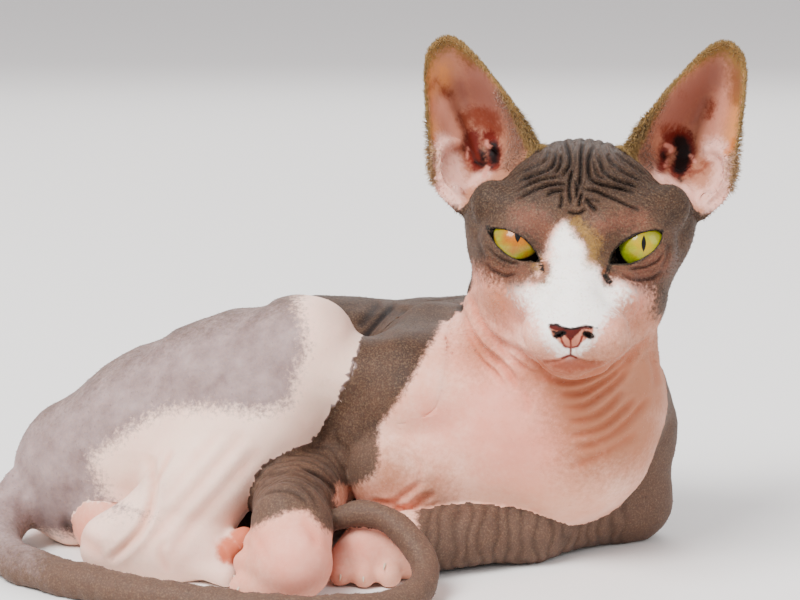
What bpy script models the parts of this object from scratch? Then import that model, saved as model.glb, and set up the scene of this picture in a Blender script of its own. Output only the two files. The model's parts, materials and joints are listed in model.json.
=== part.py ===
"""Sphynx cat lying on its chest and left hip, head up and facing forwards, at life size.

Every length below is in millimetres and is scaled to metres as a mesh is made. X runs to the
viewer's right, Y away from the viewer and Z up from the floor. The flesh is drawn as balls and
tapered limbs that melt into one another, each leg, the tail and the trunk being one such family.
A family is roughed out, drawn onto the melted surface, thinned and then parted with thin cuts.
"""

import math

import bmesh
import bpy
import numpy as np
from mathutils import Matrix, Vector

MM = 0.001
GAP = 0.34
FLOOR = 0.0

# The head looks at a viewer a little above it, a touch to its right and tipped to its left.
LOOK_UP = math.radians(9)
HEAD_ROLL = math.radians(1.6)
HEAD_TURN = math.radians(5)
HEAD_ORIGIN = (64.2, 0.0, 119.8)

# Head, measured from the point between the eyes, in the head's own directions.
EYE_AT = (21.6, -10.3, -0.2)
EYEBALL = 10.4
EYE_HALF_WIDTH = 9.6
EYE_HALF_HEIGHT = 4.6
EYE_SLANT = math.radians(30)
EAR_THICK = 1.9
NOSE_AT = (-0.4, -45.5, -30.4)

# Runs of the body as (x, y, z, radius).
TRUNK_RUN = (
    (44, 60, 48, 38), (14, 84, 47, 37), (-30, 96, 46, 37), (-76, 92, 36, 32),
    (-110, 74, 27, 26), (-134, 56, 19, 17),
)
NECK_RUN = ((60, 34, 104, 29), (59, 24, 88, 33), (59, 24, 66, 37))
RIGHT_THIGH = ((-119, 48, 25, 30), (-90, 43, 40, 33), (-62, 36, 56, 32), (-37, 25, 78, 20))
RIGHT_SHANK = ((-35, 23, 74, 18), (-52, 14, 54, 18.5), (-73, 1, 29, 16.2), (-103, -9, 13, 10))
RIGHT_HIND_FOOT = ((-103, -9, 11, 11), (-84, -10, 9.8, 10.4), (-70, -11, 9.6, 10))
LEFT_THIGH = ((-112, 60, 24, 22), (-76, 56, 24, 22), (-42, 50, 24, 18))
LEFT_SHANK = ((-42, 50, 22, 15), (-76, 34, 18, 12), (-110, 20, 11, 9.5))
LEFT_HIND_FOOT = ((-110, 20, 9, 9.5), (-86, 16, 8.6, 9.2), (-62, 19, 8.6, 9.2))
RIGHT_UPPER_ARM = ((14, 50, 72, 19), (3, 21, 64, 19), (-14, 28, 48, 17.5), (-24, 42, 33, 15))
RIGHT_FOREARM = ((-25, 40, 32, 14.5), (-38, 4, 26.5, 15), (-39, -27, 26, 13))
RIGHT_PAW = ((-38, -29, 22, 13), (-38, -40, 14, 14.6))
LEFT_UPPER_ARM = ((76, 52, 66, 20), (85, 44, 44, 19), (88, 48, 15, 15.5))
LEFT_FOREARM = ((88, 46, 14.5, 15), (46, 14, 13, 13), (6, -8, 12, 11))
LEFT_PAW = ((2, -10, 11.5, 10.8), (-12, -13, 10.2, 10.8))
TAIL_RUN = (
    (-126, 52, 26, 13), (-143, 38, 19, 10.5), (-150, 16, 9.5, 8.6), (-142, -8, 6.8, 7.3),
    (-124, -27, 6.0, 6.6), (-100, -43, 5.4, 6.0), (-72, -57, 5.0, 5.6), (-42, -66, 4.6, 5.2),
    (-14, -64, 4.4, 5.0), (3, -52, 4.8, 4.8), (9, -38, 9, 4.7), (5, -28, 17, 4.6),
    (-4, -22, 24, 4.4), (-14, -18, 26, 4.1), (-22, -16, 23.5, 3.6), (-27, -12, 19, 3.0),
)
TAIL_STEPS = 4
TOE_RADIUS = 4.7
TOE_RISE = 8.5
TOE_TAPER = 0.92
FLAT_SINK = 0.9

# How softly forms of each kind melt into one another.
SKULL_SOFT, FACE_SOFT, NECK_SOFT, BODY_SOFT = 9, 5, 12, 14
UPPER_SOFT, LOWER_SOFT, FOOT_SOFT, PAW_SOFT = 10, 9, 8, 7
HIND_TOE_SOFT, FORE_TOE_SOFT, TAIL_SOFT = 2.2, 2.4, 1.5


def clear_scene():
    for old in list(bpy.data.objects):
        bpy.data.objects.remove(old, do_unlink=True)


def collection(name):
    made = bpy.data.collections.new(name)
    bpy.context.scene.collection.children.link(made)
    return made


def turned(x=0.0, y=0.0, z=0.0):
    """Rotation matrix from degrees about X, then Y, then Z."""
    about = [Matrix.Rotation(math.radians(angle), 3, axis) for angle, axis in zip((x, y, z), "XYZ")]
    return np.array(about[2] @ about[1] @ about[0])


def head_frame():
    """Columns are the directions to the head's own left, its back and its crown."""
    look = Matrix.Rotation(-LOOK_UP, 3, "X")
    roll = Matrix.Rotation(HEAD_ROLL, 3, "Y")
    turn = Matrix.Rotation(-HEAD_TURN, 3, "Z")
    return np.array(look @ roll @ turn)


HEAD_AXES = head_frame()


def on_head(point):
    return HEAD_AXES @ np.array(point, float) + np.array(HEAD_ORIGIN)


def ways_out():
    """Evenly spread directions, the corners of an icosphere."""
    mesh = bmesh.new()
    bmesh.ops.create_icosphere(mesh, subdivisions=2, radius=1)
    ways = [np.array(v.co) for v in mesh.verts]
    mesh.free()
    return ways


WAYS_OUT = ways_out()


class Ball:
    """An ellipsoid of flesh."""

    def __init__(self, centre, radii, turn=None):
        self.centre = np.array(centre, float)
        self.radii = np.array(radii if np.iterable(radii) else (radii,) * 3, float)
        self.axes = np.eye(3) if turn is None else turn

    def distance(self, points):
        local = (points - self.centre) @ self.axes
        near = np.linalg.norm(local / self.radii, axis=1) + 1e-9
        steep = np.linalg.norm(local / self.radii**2, axis=1) + 1e-9
        return near * (near - 1) / steep

    def rough(self, mesh):
        made = bmesh.ops.create_icosphere(mesh, subdivisions=3, radius=1)["verts"]
        for v in made:
            v.co = Vector(self.centre + self.axes @ (np.array(v.co) * self.radii))


class Limb:
    """A run of flesh whose thickness changes evenly from one end to the other."""

    def __init__(self, start, end, start_radius, end_radius):
        self.start = np.array(start, float)
        self.end = np.array(end, float)
        self.ends = (start_radius, end_radius)

    def distance(self, points):
        run = self.end - self.start
        along = np.clip((points - self.start) @ run / (run @ run), 0, 1)
        thick = self.ends[0] + along * (self.ends[1] - self.ends[0])
        return np.linalg.norm(points - self.start - along[:, None] * run, axis=1) - thick

    def rough(self, mesh):
        hull = []
        for centre, radius in zip((self.start, self.end), self.ends):
            hull += [mesh.verts.new(Vector(centre + way * radius)) for way in WAYS_OUT]
        made = bmesh.ops.convex_hull(mesh, input=hull)
        inside = [v for v in made["geom_interior"] if isinstance(v, bmesh.types.BMVert)]
        bmesh.ops.delete(mesh, geom=inside, context="VERTS")


def chain(*stations):
    """Limbs through stations of (x, y, z, radius)."""
    return [Limb(a[:3], b[:3], a[3], b[3]) for a, b in zip(stations, stations[1:])]


def head_ball(centre, radii, turn=None):
    axes = HEAD_AXES if turn is None else HEAD_AXES @ turn
    return Ball(on_head(centre), radii, axes)


def both_sides(centre, radii, tilt=(0, 0, 0)):
    """The same ball on each side of the head."""
    x, y, z = centre
    return [
        head_ball((side * x, y, z), radii, turned(tilt[0], side * tilt[1], side * tilt[2]))
        for side in (-1, 1)
    ]


def melt(first, second, soft):
    share = np.clip(0.5 + 0.5 * (second - first) / soft, 0, 1)
    return second * (1 - share) + first * share - soft * share * (1 - share)


class Flesh:
    """A family of forms melted into one surface. Each batch is (forms, softness)."""

    def __init__(self, *batches):
        self.batches = batches

    def distance(self, points):
        total = np.full(len(points), 1e3)
        for forms, soft in self.batches:
            for form in forms:
                total = melt(total, form.distance(points), soft)
        return total

    def forms(self):
        return [form for forms, _ in self.batches for form in forms]


HEAD_FORMS = [
    head_ball((0, 22, 10), (33, 37, 30)),
    head_ball((0, 2, 13), (27, 21, 19)),
    head_ball((0, 6, -14), (25, 25, 18)),
    head_ball((-24.5, 5, -3), (14.5, 20, 15)),
    head_ball((22.3, 5, -2.5), (13.8, 20, 15)),
    head_ball((-18.5, -4, -18), (14.5, 17, 12)),
    head_ball((16.2, -4, -18), (13.8, 17, 12)),
    *both_sides((30, 24, 17), (13, 15, 16)),
    Limb(on_head((-6, -25, -36.5)), on_head((-19, 4, -24)), 8.5, 11.5),
    Limb(on_head((6, -25, -36.5)), on_head((16.7, 4, -24)), 8.5, 11.2),
]
FACE_FORMS = [
    head_ball((0, -14, -2), (14, 12, 12)),
    head_ball((0, -26, -13), (11.5, 10, 10)),
    head_ball((0, -35, -22.5), (9.4, 8, 8)),
    *both_sides((13, -22, -17), (9.5, 10.5, 10.5)),
    *both_sides((8.2, -33, -30.5), (10.2, 10.5, 9.2), (0, 12, 0)),
    head_ball((0.2, -38.5, -28), (8.4, 7, 6.6)),
    head_ball((0, -28.5, -39.5), (9.8, 9.5, 6.8)),
    *[Limb(on_head((x * 9, -17.5, 7)), on_head((x * 31, -4, 14.5)), 6.2, 8) for x in (-1, 1)],
    *both_sides((21.6, -9.4, -0.2), (12.4, 12.0, 11.4)),
]
BODY_FORMS = [
    Ball((46, 50, 46), (56, 42, 46), turned(z=-45)),
    Ball((56, 15, 54), (36, 25, 38)),
    Ball((22, 20, 44), (25, 21, 33)),
    Ball((0, 15, 36), (20, 19, 22)),
    Ball((48, 60, 60), (36, 32, 28)),
    Ball((-36, 90, 34), (58, 41, 38)),
    *chain(*TRUNK_RUN),
]
NECK_FORMS = chain(*NECK_RUN)
TRUNK = Flesh(
    (HEAD_FORMS, SKULL_SOFT), (FACE_FORMS, FACE_SOFT), (NECK_FORMS, NECK_SOFT), (BODY_FORMS, BODY_SOFT)
)


def spread(middle, across, count):
    """Points in a row, centred on middle, each set over by across."""
    return [np.array(middle, float) + (i - (count - 1) / 2) * np.array(across) for i in range(count)]


def toes(knuckles, tips, radius):
    """Toes from a row of knuckles to a row of tips."""
    return [Limb(a, b, radius, radius * TOE_TAPER) for a, b in zip(knuckles, tips)]


def flat_toes(foot):
    """Four toes side by side beyond the foot's last station."""
    heel, ball = (np.array(foot[i][:3], float) for i in (0, -1))
    ahead = (ball - heel) / np.linalg.norm(ball - heel)
    side = np.cross(ahead, (0, 0, 1))
    row = toes(spread(ball + ahead * 2, side * 5.4, 4), spread(ball + ahead * 15, side * 5.8, 4), TOE_RADIUS)
    for toe in row:
        toe.start[2] = TOE_RISE
        toe.end[2] = TOE_RADIUS - FLAT_SINK
    return row


def hind_leg(thigh, shank, foot, row):
    return Flesh(
        (chain(*thigh), UPPER_SOFT), (chain(*shank), LOWER_SOFT), (chain(*foot), FOOT_SOFT),
        (row, HIND_TOE_SOFT),
    )


def fore_leg(upper, lower, paw, row):
    return Flesh(
        (chain(*upper), UPPER_SOFT), (chain(*lower), LOWER_SOFT), (chain(*paw), PAW_SOFT),
        (row, FORE_TOE_SOFT),
    )


RIGHT_TOES = toes(
    [(-44, -36, 20), (-46, -41, 13), (-46, -44, 6)],
    [(-51, -26, 17), (-54, -31, 11), (-55, -37, 4.2)],
    5.4,
)
RIGHT_HIND_TOES = toes(
    [(-70, -4, 8.5), (-68, -8, 9), (-72, -12, 8.5), (-74, -16, 7)],
    [(-58, -2, 3.8), (-56, -15.5, 15.5), (-61, -18, 11.5), (-62, -22, 3.8)],
    TOE_RADIUS,
)
LEFT_TOES = toes(
    [(-20, -15, 9), (-13, -17, 9), (-5, -17, 9)],
    [(-21, -21, 4.2), (-13, -23, 4.0), (-4, -22, 4.2)],
    5.0,
)


def smooth_route(stations, steps):
    """Stations joined by a Catmull-Rom curve, sampled steps times between each two."""
    knots = np.array([stations[0], *stations, stations[-1]], float)
    route = []
    for i in range(1, len(knots) - 2):
        p0, p1, p2, p3 = knots[i - 1 : i + 3]
        for t in np.arange(steps) / steps:
            curve = 2 * p1 + (p2 - p0) * t + (2 * p0 - 5 * p1 + 4 * p2 - p3) * t**2
            route.append((curve + (3 * p1 - p0 - 3 * p2 + p3) * t**3) / 2)
    return [*route, knots[-1]]


COAT = {
    "head": (0.42, 0.31, 0.27), "neck": (0.84, 0.60, 0.53), "chest": (0.82, 0.60, 0.53),
    "belly": (0.36, 0.29, 0.26), "rump": (0.40, 0.33, 0.31), "ear": (0.66, 0.40, 0.32),
    "eye": (0.78, 0.74, 0.12), "nose": (0.24, 0.09, 0.07), "upper_arm": (0.36, 0.29, 0.26),
    "forearm": (0.38, 0.31, 0.27), "forepaw": (0.84, 0.58, 0.52), "thigh": (0.52, 0.44, 0.43),
    "shank": (0.80, 0.62, 0.56), "hind_foot": (0.80, 0.58, 0.52), "tail": (0.34, 0.28, 0.25),
}
GLOSS = {"eye": 0.06, "nose": 0.45}


def coat(obj):
    """Gives a part its own skin colour and smooth shading."""
    kind = next(k for k in sorted(COAT, key=len, reverse=True) if obj.name.startswith(k))
    skin = bpy.data.materials.new(obj.name)
    skin.use_nodes = True
    shader = skin.node_tree.nodes["Principled BSDF"]
    shader.inputs["Base Color"].default_value = (*COAT[kind], 1)
    shader.inputs["Roughness"].default_value = GLOSS.get(kind, 0.62)
    shader.inputs["Metallic"].default_value = 0.0
    obj.data.materials.clear()
    obj.data.materials.append(skin)
    obj.data.shade_smooth()
    obj.data.set_sharp_from_angle(angle=math.radians(50))


def mesh_object(name, mesh, target):
    """A bmesh in millimetres made an object in metres."""
    data = bpy.data.meshes.new(name)
    mesh.to_mesh(data)
    mesh.free()
    data.transform(Matrix.Scale(MM, 4))
    made = bpy.data.objects.new(name, data)
    target.objects.link(made)
    return made


def baked(obj):
    """Applies an object's modifiers to its mesh."""
    graph = bpy.context.evaluated_depsgraph_get()
    done = bpy.data.meshes.new_from_object(obj.evaluated_get(graph))
    obj.modifiers.clear()
    obj.data = done
    return obj


def points_of(obj):
    flat = np.empty(len(obj.data.vertices) * 3)
    obj.data.vertices.foreach_get("co", flat)
    return flat.reshape(-1, 3) / MM


def put_points(obj, points):
    obj.data.vertices.foreach_set("co", (points * MM).ravel())
    obj.data.update()


def drawn_to(points, flesh, passes=5):
    """Points moved along the slope of the melted surface until they lie on it."""
    step = 0.2
    for _ in range(passes):
        height = flesh.distance(points)
        slope = np.empty_like(points)
        for axis in range(3):
            shift = np.zeros(3)
            shift[axis] = step
            slope[:, axis] = flesh.distance(points + shift) - flesh.distance(points - shift)
        slope /= 2 * step
        steep = np.maximum((slope**2).sum(1), 0.3)
        points = points - np.clip(height / steep, -3, 3)[:, None] * slope
    return points


def skin_over(name, flesh, rough_forms, voxel, triangles, target):
    """One closed surface over the forms, drawn onto the whole family and thinned."""
    mesh = bmesh.new()
    for form in rough_forms:
        form.rough(mesh)
    obj = mesh_object(name, mesh, target)
    remesh = obj.modifiers.new("rough", "REMESH")
    remesh.mode = "VOXEL"
    remesh.voxel_size = voxel * MM
    baked(obj)
    put_points(obj, drawn_to(points_of(obj), flesh))
    ease = obj.modifiers.new("ease", "SMOOTH")
    ease.factor = 0.5
    ease.iterations = 2
    baked(obj)
    put_points(obj, drawn_to(points_of(obj), flesh, 2))
    faces = sum(len(p.vertices) - 2 for p in obj.data.polygons)
    thin = obj.modifiers.new("thin", "DECIMATE")
    thin.ratio = min(1.0, triangles / faces)
    thin.use_collapse_triangulate = True
    return baked(obj)


def sliced(obj, point, normal, setback=GAP / 2):
    """Keeps the side of the plane that the normal points to, closed with a flat face."""
    mesh = bmesh.new()
    mesh.from_mesh(obj.data)
    direction = Vector(normal).normalized()
    place = Vector(point) * MM + direction * setback * MM
    everything = mesh.verts[:] + mesh.edges[:] + mesh.faces[:]
    bmesh.ops.bisect_plane(
        mesh, geom=everything, plane_co=place, plane_no=direction, dist=1e-7, clear_inner=True
    )
    rim = [e for e in mesh.edges if e.is_boundary]
    bmesh.ops.edgeloop_fill(mesh, edges=rim)
    bmesh.ops.triangulate(mesh, faces=mesh.faces[:])
    mesh.to_mesh(obj.data)
    mesh.free()
    return obj


def largest_only(obj):
    """Drops all but the largest closed surface."""
    mesh = bmesh.new()
    mesh.from_mesh(obj.data)
    left = set(mesh.verts)
    islands = []
    while left:
        island = set()
        front = [left.pop()]
        while front:
            v = front.pop()
            island.add(v)
            fresh = [e.other_vert(v) for e in v.link_edges]
            fresh = [w for w in fresh if w in left]
            left.difference_update(fresh)
            front += fresh
        islands.append(island)
    keep = max(islands, key=lambda island: volume_of({f for v in island for f in v.link_faces}))
    bmesh.ops.delete(mesh, geom=[v for v in mesh.verts if v not in keep], context="VERTS")
    bmesh.ops.dissolve_degenerate(mesh, dist=0.02 * MM, edges=mesh.edges[:])
    bmesh.ops.triangulate(mesh, faces=mesh.faces[:])
    mesh.to_mesh(obj.data)
    mesh.free()
    return obj


def volume_of(faces):
    total = 0.0
    for face in faces:
        a, *rest = (v.co for v in face.verts)
        total += sum(a.dot(b.cross(c)) for b, c in zip(rest, rest[1:]))
    return abs(total)


def combined(obj, other, operation):
    """Applies one Boolean and leaves the other object alone."""
    step = obj.modifiers.new(operation, "BOOLEAN")
    step.operation = operation
    step.object = other
    step.solver = "EXACT"
    return baked(obj)


def grown(obj, by, target):
    """A copy whose surface stands off by a set distance, for cutting its neighbours."""
    copy = obj.copy()
    copy.data = obj.data.copy()
    target.objects.link(copy)
    normals = np.empty(len(copy.data.vertices) * 3)
    copy.data.vertices.foreach_get("normal", normals)
    put_points(copy, points_of(copy) + normals.reshape(-1, 3) * by)
    copy.hide_render = True
    copy.display_type = "WIRE"
    return copy


def carved(obj, cutters):
    for cutter in cutters:
        combined(obj, cutter, "DIFFERENCE")
    return largest_only(obj)


def duplicate(obj, name, target):
    copy = obj.copy()
    copy.data = obj.data.copy()
    copy.name = name
    target.objects.link(copy)
    return copy


def parted(source, cuts, target):
    """Pieces of source. Each cut is (name, list of planes as (point, normal))."""
    made = []
    for name, planes in cuts:
        piece = duplicate(source, name, target)
        for point, normal in planes:
            sliced(piece, point, normal)
        made.append(largest_only(piece))
    bpy.data.objects.remove(source)
    return made


def flipped(plane):
    point, normal = plane
    return point, tuple(-np.array(normal, float))


def disc(name, point, normal, radius, target):
    """A thin round cutter."""
    mesh = bmesh.new()
    bmesh.ops.create_cone(
        mesh, cap_ends=True, segments=48, radius1=radius, radius2=radius, depth=GAP
    )
    turn = Vector((0, 0, 1)).rotation_difference(Vector(normal)).to_matrix().to_4x4()
    bmesh.ops.transform(mesh, matrix=Matrix.Translation(Vector(point)) @ turn, verts=mesh.verts)
    return mesh_object(name, mesh, target)


def loose_pieces(obj, anchors, target):
    """Splits an object into its closed surfaces and names each after the nearest anchor."""
    mesh = bmesh.new()
    mesh.from_mesh(obj.data)
    mesh.verts.ensure_lookup_table()
    label = np.full(len(mesh.verts), -1)
    count = 0
    for v in mesh.verts:
        if label[v.index] >= 0:
            continue
        front = [v]
        label[v.index] = count
        while front:
            for e in front.pop().link_edges:
                for w in e.verts:
                    if label[w.index] < 0:
                        label[w.index] = count
                        front.append(w)
        count += 1
    points = points_of(obj)
    centres = [points[label == i].mean(0) for i in range(count)]
    mesh.free()
    made = []
    for name, anchor in anchors.items():
        sizes = [np.sum(label == i) for i in range(count)]
        distances = [np.linalg.norm(c - anchor) if s > 20 else 1e9 for c, s in zip(centres, sizes)]
        chosen = int(np.argmin(distances))
        piece = duplicate(obj, name, target)
        cut = bmesh.new()
        cut.from_mesh(piece.data)
        drop = [v for v in cut.verts if label[v.index] != chosen]
        bmesh.ops.delete(cut, geom=drop, context="VERTS")
        bmesh.ops.triangulate(cut, faces=cut.faces[:])
        cut.to_mesh(piece.data)
        cut.free()
        made.append(piece)
    bpy.data.objects.remove(obj)
    return made


NECK_TOP = ((60, 24, 101), (0.0, -0.62, 0.79))
NECK_BASE = ((58, 34, 80), (0.05, -0.55, 0.83))
CHEST_END = ((-2, 86, 50), (-0.88, 0.47, 0.0))
BELLY_END = ((-78, 98, 44), (-0.96, -0.28, 0.0))
TRUNK_ANCHORS = {
    "neck": (60, 16, 86), "chest": (45, 48, 45), "belly": (-40, 96, 44), "rump": (-112, 76, 36),
}


def build_trunk(parts, tools):
    whole = skin_over("trunk", TRUNK, BODY_FORMS + NECK_FORMS + HEAD_FORMS, 3.2, 2300, tools)
    sliced(whole, *flipped(NECK_TOP))
    sliced(whole, (0, 0, FLOOR), (0, 0, 1), 0)
    stand_off = grown(whole, GAP, tools)
    for name, (point, normal), radius in (
        ("neck_cut", NECK_BASE, 62), ("chest_cut", CHEST_END, 66), ("belly_cut", BELLY_END, 66),
    ):
        cutter = disc(name, point, normal, radius, tools)
        combined(whole, cutter, "DIFFERENCE")
        bpy.data.objects.remove(cutter)
    loose_pieces(whole, TRUNK_ANCHORS, parts)
    return stand_off


def almond(name, side, target):
    """A lens-shaped prism that opens the lids. Its outer corner is the higher one."""
    mesh = bmesh.new()
    steps = 12
    ring = []
    for i in range(2 * steps):
        angle = math.pi * i / steps
        width = EYE_HALF_WIDTH * math.cos(angle)
        height = EYE_HALF_HEIGHT * math.copysign(abs(math.sin(angle)) ** 1.25, math.sin(angle))
        ring.append((width, height * (1.0 if height < 0 else 0.82)))
    slant = side * EYE_SLANT
    corners = []
    for depth in (-22.0, 0.0):
        for w, h in ring:
            x = w * math.cos(slant) - h * math.sin(slant)
            z = w * math.sin(slant) + h * math.cos(slant)
            place = (side * (EYE_AT[0] + 0.6) + x, EYE_AT[1] + depth, EYE_AT[2] + z)
            corners.append(mesh.verts.new(Vector(on_head(place))))
    n = len(ring)
    mesh.faces.new(corners[:n])
    mesh.faces.new(reversed(corners[n:]))
    for i in range(n):
        j = (i + 1) % n
        mesh.faces.new((corners[j], corners[i], corners[n + i], corners[n + j]))
    bmesh.ops.recalc_face_normals(mesh, faces=mesh.faces)
    return mesh_object(name, mesh, target)


def sphere(name, centre, radii, target, turn=None, segments=20):
    mesh = bmesh.new()
    made = bmesh.ops.create_uvsphere(mesh, u_segments=segments, v_segments=segments // 2 + 2, radius=1)
    axes = np.eye(3) if turn is None else turn
    for v in made["verts"]:
        v.co = Vector(np.array(centre) + axes @ (np.array(v.co) * np.array(radii)))
    return mesh_object(name, mesh, target)


def tube(name, route, radius, target):
    """A closed tube along a route, as a mesh."""
    curve = bpy.data.curves.new(name, "CURVE")
    curve.dimensions = "3D"
    curve.bevel_depth = radius * MM
    curve.bevel_resolution = 1
    curve.use_fill_caps = True
    line = curve.splines.new("POLY")
    line.points.add(len(route) - 1)
    for knot, place in zip(line.points, route):
        knot.co = (*(Vector(place) * MM), 1)
    holder = bpy.data.objects.new(name, curve)
    target.objects.link(holder)
    graph = bpy.context.evaluated_depsgraph_get()
    data = bpy.data.meshes.new_from_object(holder.evaluated_get(graph))
    bpy.data.objects.remove(holder)
    mesh = bmesh.new()
    mesh.from_mesh(data)
    bmesh.ops.remove_doubles(mesh, verts=mesh.verts, dist=0.01 * MM)
    bmesh.ops.recalc_face_normals(mesh, faces=mesh.faces)
    mesh.to_mesh(data)
    mesh.free()
    made = bpy.data.objects.new(name, data)
    target.objects.link(made)
    return made


def on_face(x, z, flesh, sink=0.0):
    """The point of the face straight in front of a spot on the head's own X and Z."""
    depths = np.linspace(-70, 0, 281)
    line = np.array([on_head((x, y, z)) for y in depths])
    inside = np.nonzero(flesh.distance(line) < 0)[0]
    return on_head((x, depths[inside[0]] + sink, z))


MOUTH = ((-17, -37.6), (-12, -38.8), (-6, -37.9), (0.2, -36.2), (6.4, -37.9), (12.4, -38.8), (17.4, -37.6))
PHILTRUM = ((0.2, -33.8), (0.2, -35.0), (0.2, -36.6))
LINE_RADIUS = 0.75


def build_head(parts, tools):
    head = skin_over("head", TRUNK, HEAD_FORMS + FACE_FORMS + NECK_FORMS, 1.5, 2500, parts)
    sliced(head, *NECK_TOP)
    stand_off = grown(head, GAP, tools)
    cutters = []
    for side, word in ((-1, "right"), (1, "left")):
        centre = on_head((side * EYE_AT[0], EYE_AT[1], EYE_AT[2]))
        cutters.append(almond("lids_" + word, side, tools))
        cutters.append(sphere("socket_" + word, centre, (EYEBALL + GAP,) * 3, tools, HEAD_AXES, 18))
        sphere("eye_" + word, centre, (EYEBALL,) * 3, parts, HEAD_AXES, 16)
        cutters.append(ear_bowl("bowl_" + word, side, EAR_THICK / 2 + GAP, tools, closed=True))
        build_ear(side, word, parts)
    for name, line in (("mouth", MOUTH), ("philtrum", PHILTRUM)):
        route = [on_face(x, z, TRUNK) for x, z in line]
        cutters.append(tube(name, route, LINE_RADIUS, tools))
    for cutter in cutters:
        combined(head, cutter, "DIFFERENCE")
        bpy.data.objects.remove(cutter)
    nose = build_nose(parts, tools)
    hollow = grown(nose, GAP, tools)
    carved(head, [hollow])
    bpy.data.objects.remove(hollow)
    return stand_off


# Balls of the nose as (right or left, up, radii) from its middle, and how far it sits into the face.
NOSE_BALLS = (
    (-3.9, 0.9, (4.2, 4.6, 3.0)), (3.9, 0.9, (4.2, 4.6, 3.0)), (0, 0.2, (3.6, 5.0, 3.6)),
    (-2.6, -2.0, (2.9, 4.2, 2.6)), (2.6, -2.0, (2.9, 4.2, 2.6)),
)
NOSE_SINK = 3.4
NOSTRIL_AT = (4.6, -0.4, -0.3)
NOSTRIL = (2.3, 2.6, 1.15)
NOSTRIL_SLANT = 24


def build_nose(parts, tools):
    """The nose leather: a small shield with a nostril at each side."""
    x0, y0, z0 = NOSE_AT
    mesh = bmesh.new()
    for x, z, radii in NOSE_BALLS:
        head_ball((x0 + x, y0 + NOSE_SINK, z0 + z), radii).rough(mesh)
    nose = mesh_object("nose", mesh, parts)
    remesh = nose.modifiers.new("rough", "REMESH")
    remesh.mode = "VOXEL"
    remesh.voxel_size = 0.55 * MM
    thin = nose.modifiers.new("thin", "DECIMATE")
    thin.ratio = 0.06
    baked(nose)
    for side in (-1, 1):
        hole = on_head(np.add(NOSE_AT, np.multiply(NOSTRIL_AT, (side, 1, 1))))
        turn = HEAD_AXES @ turned(y=side * NOSTRIL_SLANT)
        cutter = sphere("nostril", hole, NOSTRIL, tools, turn, 10)
        combined(nose, cutter, "DIFFERENCE")
        bpy.data.objects.remove(cutter)
    return largest_only(nose)


# The rim of the ear's opening, from the notch out and up to the tip and back down its front.
EAR_RIM = (
    (45, 15, 11.4), (50.2, 17, 16.3), (54, 19, 24), (56.5, 20.5, 36.5), (57.8, 22, 48),
    (58.9, 23.3, 58.6), (59, 24.3, 68.4), (57, 25, 73.8), (51.9, 25.5, 77.4), (45, 24, 74.6),
    (34, 20, 62.6), (24.3, 15.5, 49.6), (18.7, 12.5, 40), (16.2, 10.5, 34.5), (20.3, 8.5, 27),
    (28.5, 8.5, 20.6), (39, 12, 15.5),
)
EAR_CANAL = (34, 37, 30)
EAR_CUP = 8.0
EAR_MOUTH = 14
EAR_SHARES = (0, 0.14, 0.3, 0.48, 0.66, 0.84)


def ear_rows(side):
    """Rings of points from the rim of the ear down its cup towards the canal."""
    rim = smooth_route([*EAR_RIM, EAR_RIM[0]], 1)[:-1]
    canal = np.array(EAR_CANAL, float)
    rows = []
    for share in EAR_SHARES:
        row = []
        for x, y, z in rim:
            lift = EAR_CUP * np.clip((z - 18) / 34, 0.15, 1) * math.sin(math.pi * share) ** 0.8
            place = np.array([x, y, z]) * (1 - share) + canal * share + np.array([0.05, 1, -0.1]) * lift
            row.append(on_head(place * (side, 1, 1)))
        rows.append(row)
    return rows, on_head(canal * (side, 1, 1))


def ear_bowl(name, side, thickness, target, closed=False):
    """The cup of the ear as a sheet with a wall, or filled and open to the front as a cutter."""
    rows, canal = ear_rows(side)
    mesh = bmesh.new()
    rings = [[mesh.verts.new(Vector(p)) for p in row] for row in rows]
    middle = mesh.verts.new(Vector(canal))
    count = len(rings[0])
    faces = []
    for i in range(count):
        j = (i + 1) % count
        for outer, inner in zip(rings, rings[1:]):
            faces.append((outer[i], outer[j], inner[j], inner[i]))
        faces.append((rings[-1][i], rings[-1][j], middle))
    for corners in faces:
        mesh.faces.new(corners if side < 0 else corners[::-1])
    bmesh.ops.triangulate(mesh, faces=mesh.faces[:])
    if closed:
        mesh.normal_update()
        for v in mesh.verts:
            v.co += v.normal * thickness
        ahead = Vector(HEAD_AXES[:, 1]) * -EAR_MOUTH
        front = [mesh.verts.new(v.co + ahead) for v in rings[0]]
        middle = mesh.verts.new(sum((v.co for v in front), Vector()) / count)
        for i in range(count):
            j = (i + 1) % count
            mesh.faces.new((rings[0][j], rings[0][i], front[i], front[j]))
            mesh.faces.new((front[j], front[i], middle))
        bmesh.ops.triangulate(mesh, faces=mesh.faces[:])
        bmesh.ops.recalc_face_normals(mesh, faces=mesh.faces)
    return mesh_object(name, mesh, target)


def build_ear(side, word, parts):
    ear = ear_bowl("ear_" + word, side, 0, parts)
    wall = ear.modifiers.new("wall", "SOLIDIFY")
    wall.thickness = EAR_THICK * MM
    wall.offset = 0
    wall.use_even_offset = True
    return baked(ear)


TAIL_CUTS = (3, 6, 9, 12)
TAIL_MIDDLES = (1.5, 4.5, 7.5, 10.5, 13.5)


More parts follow.
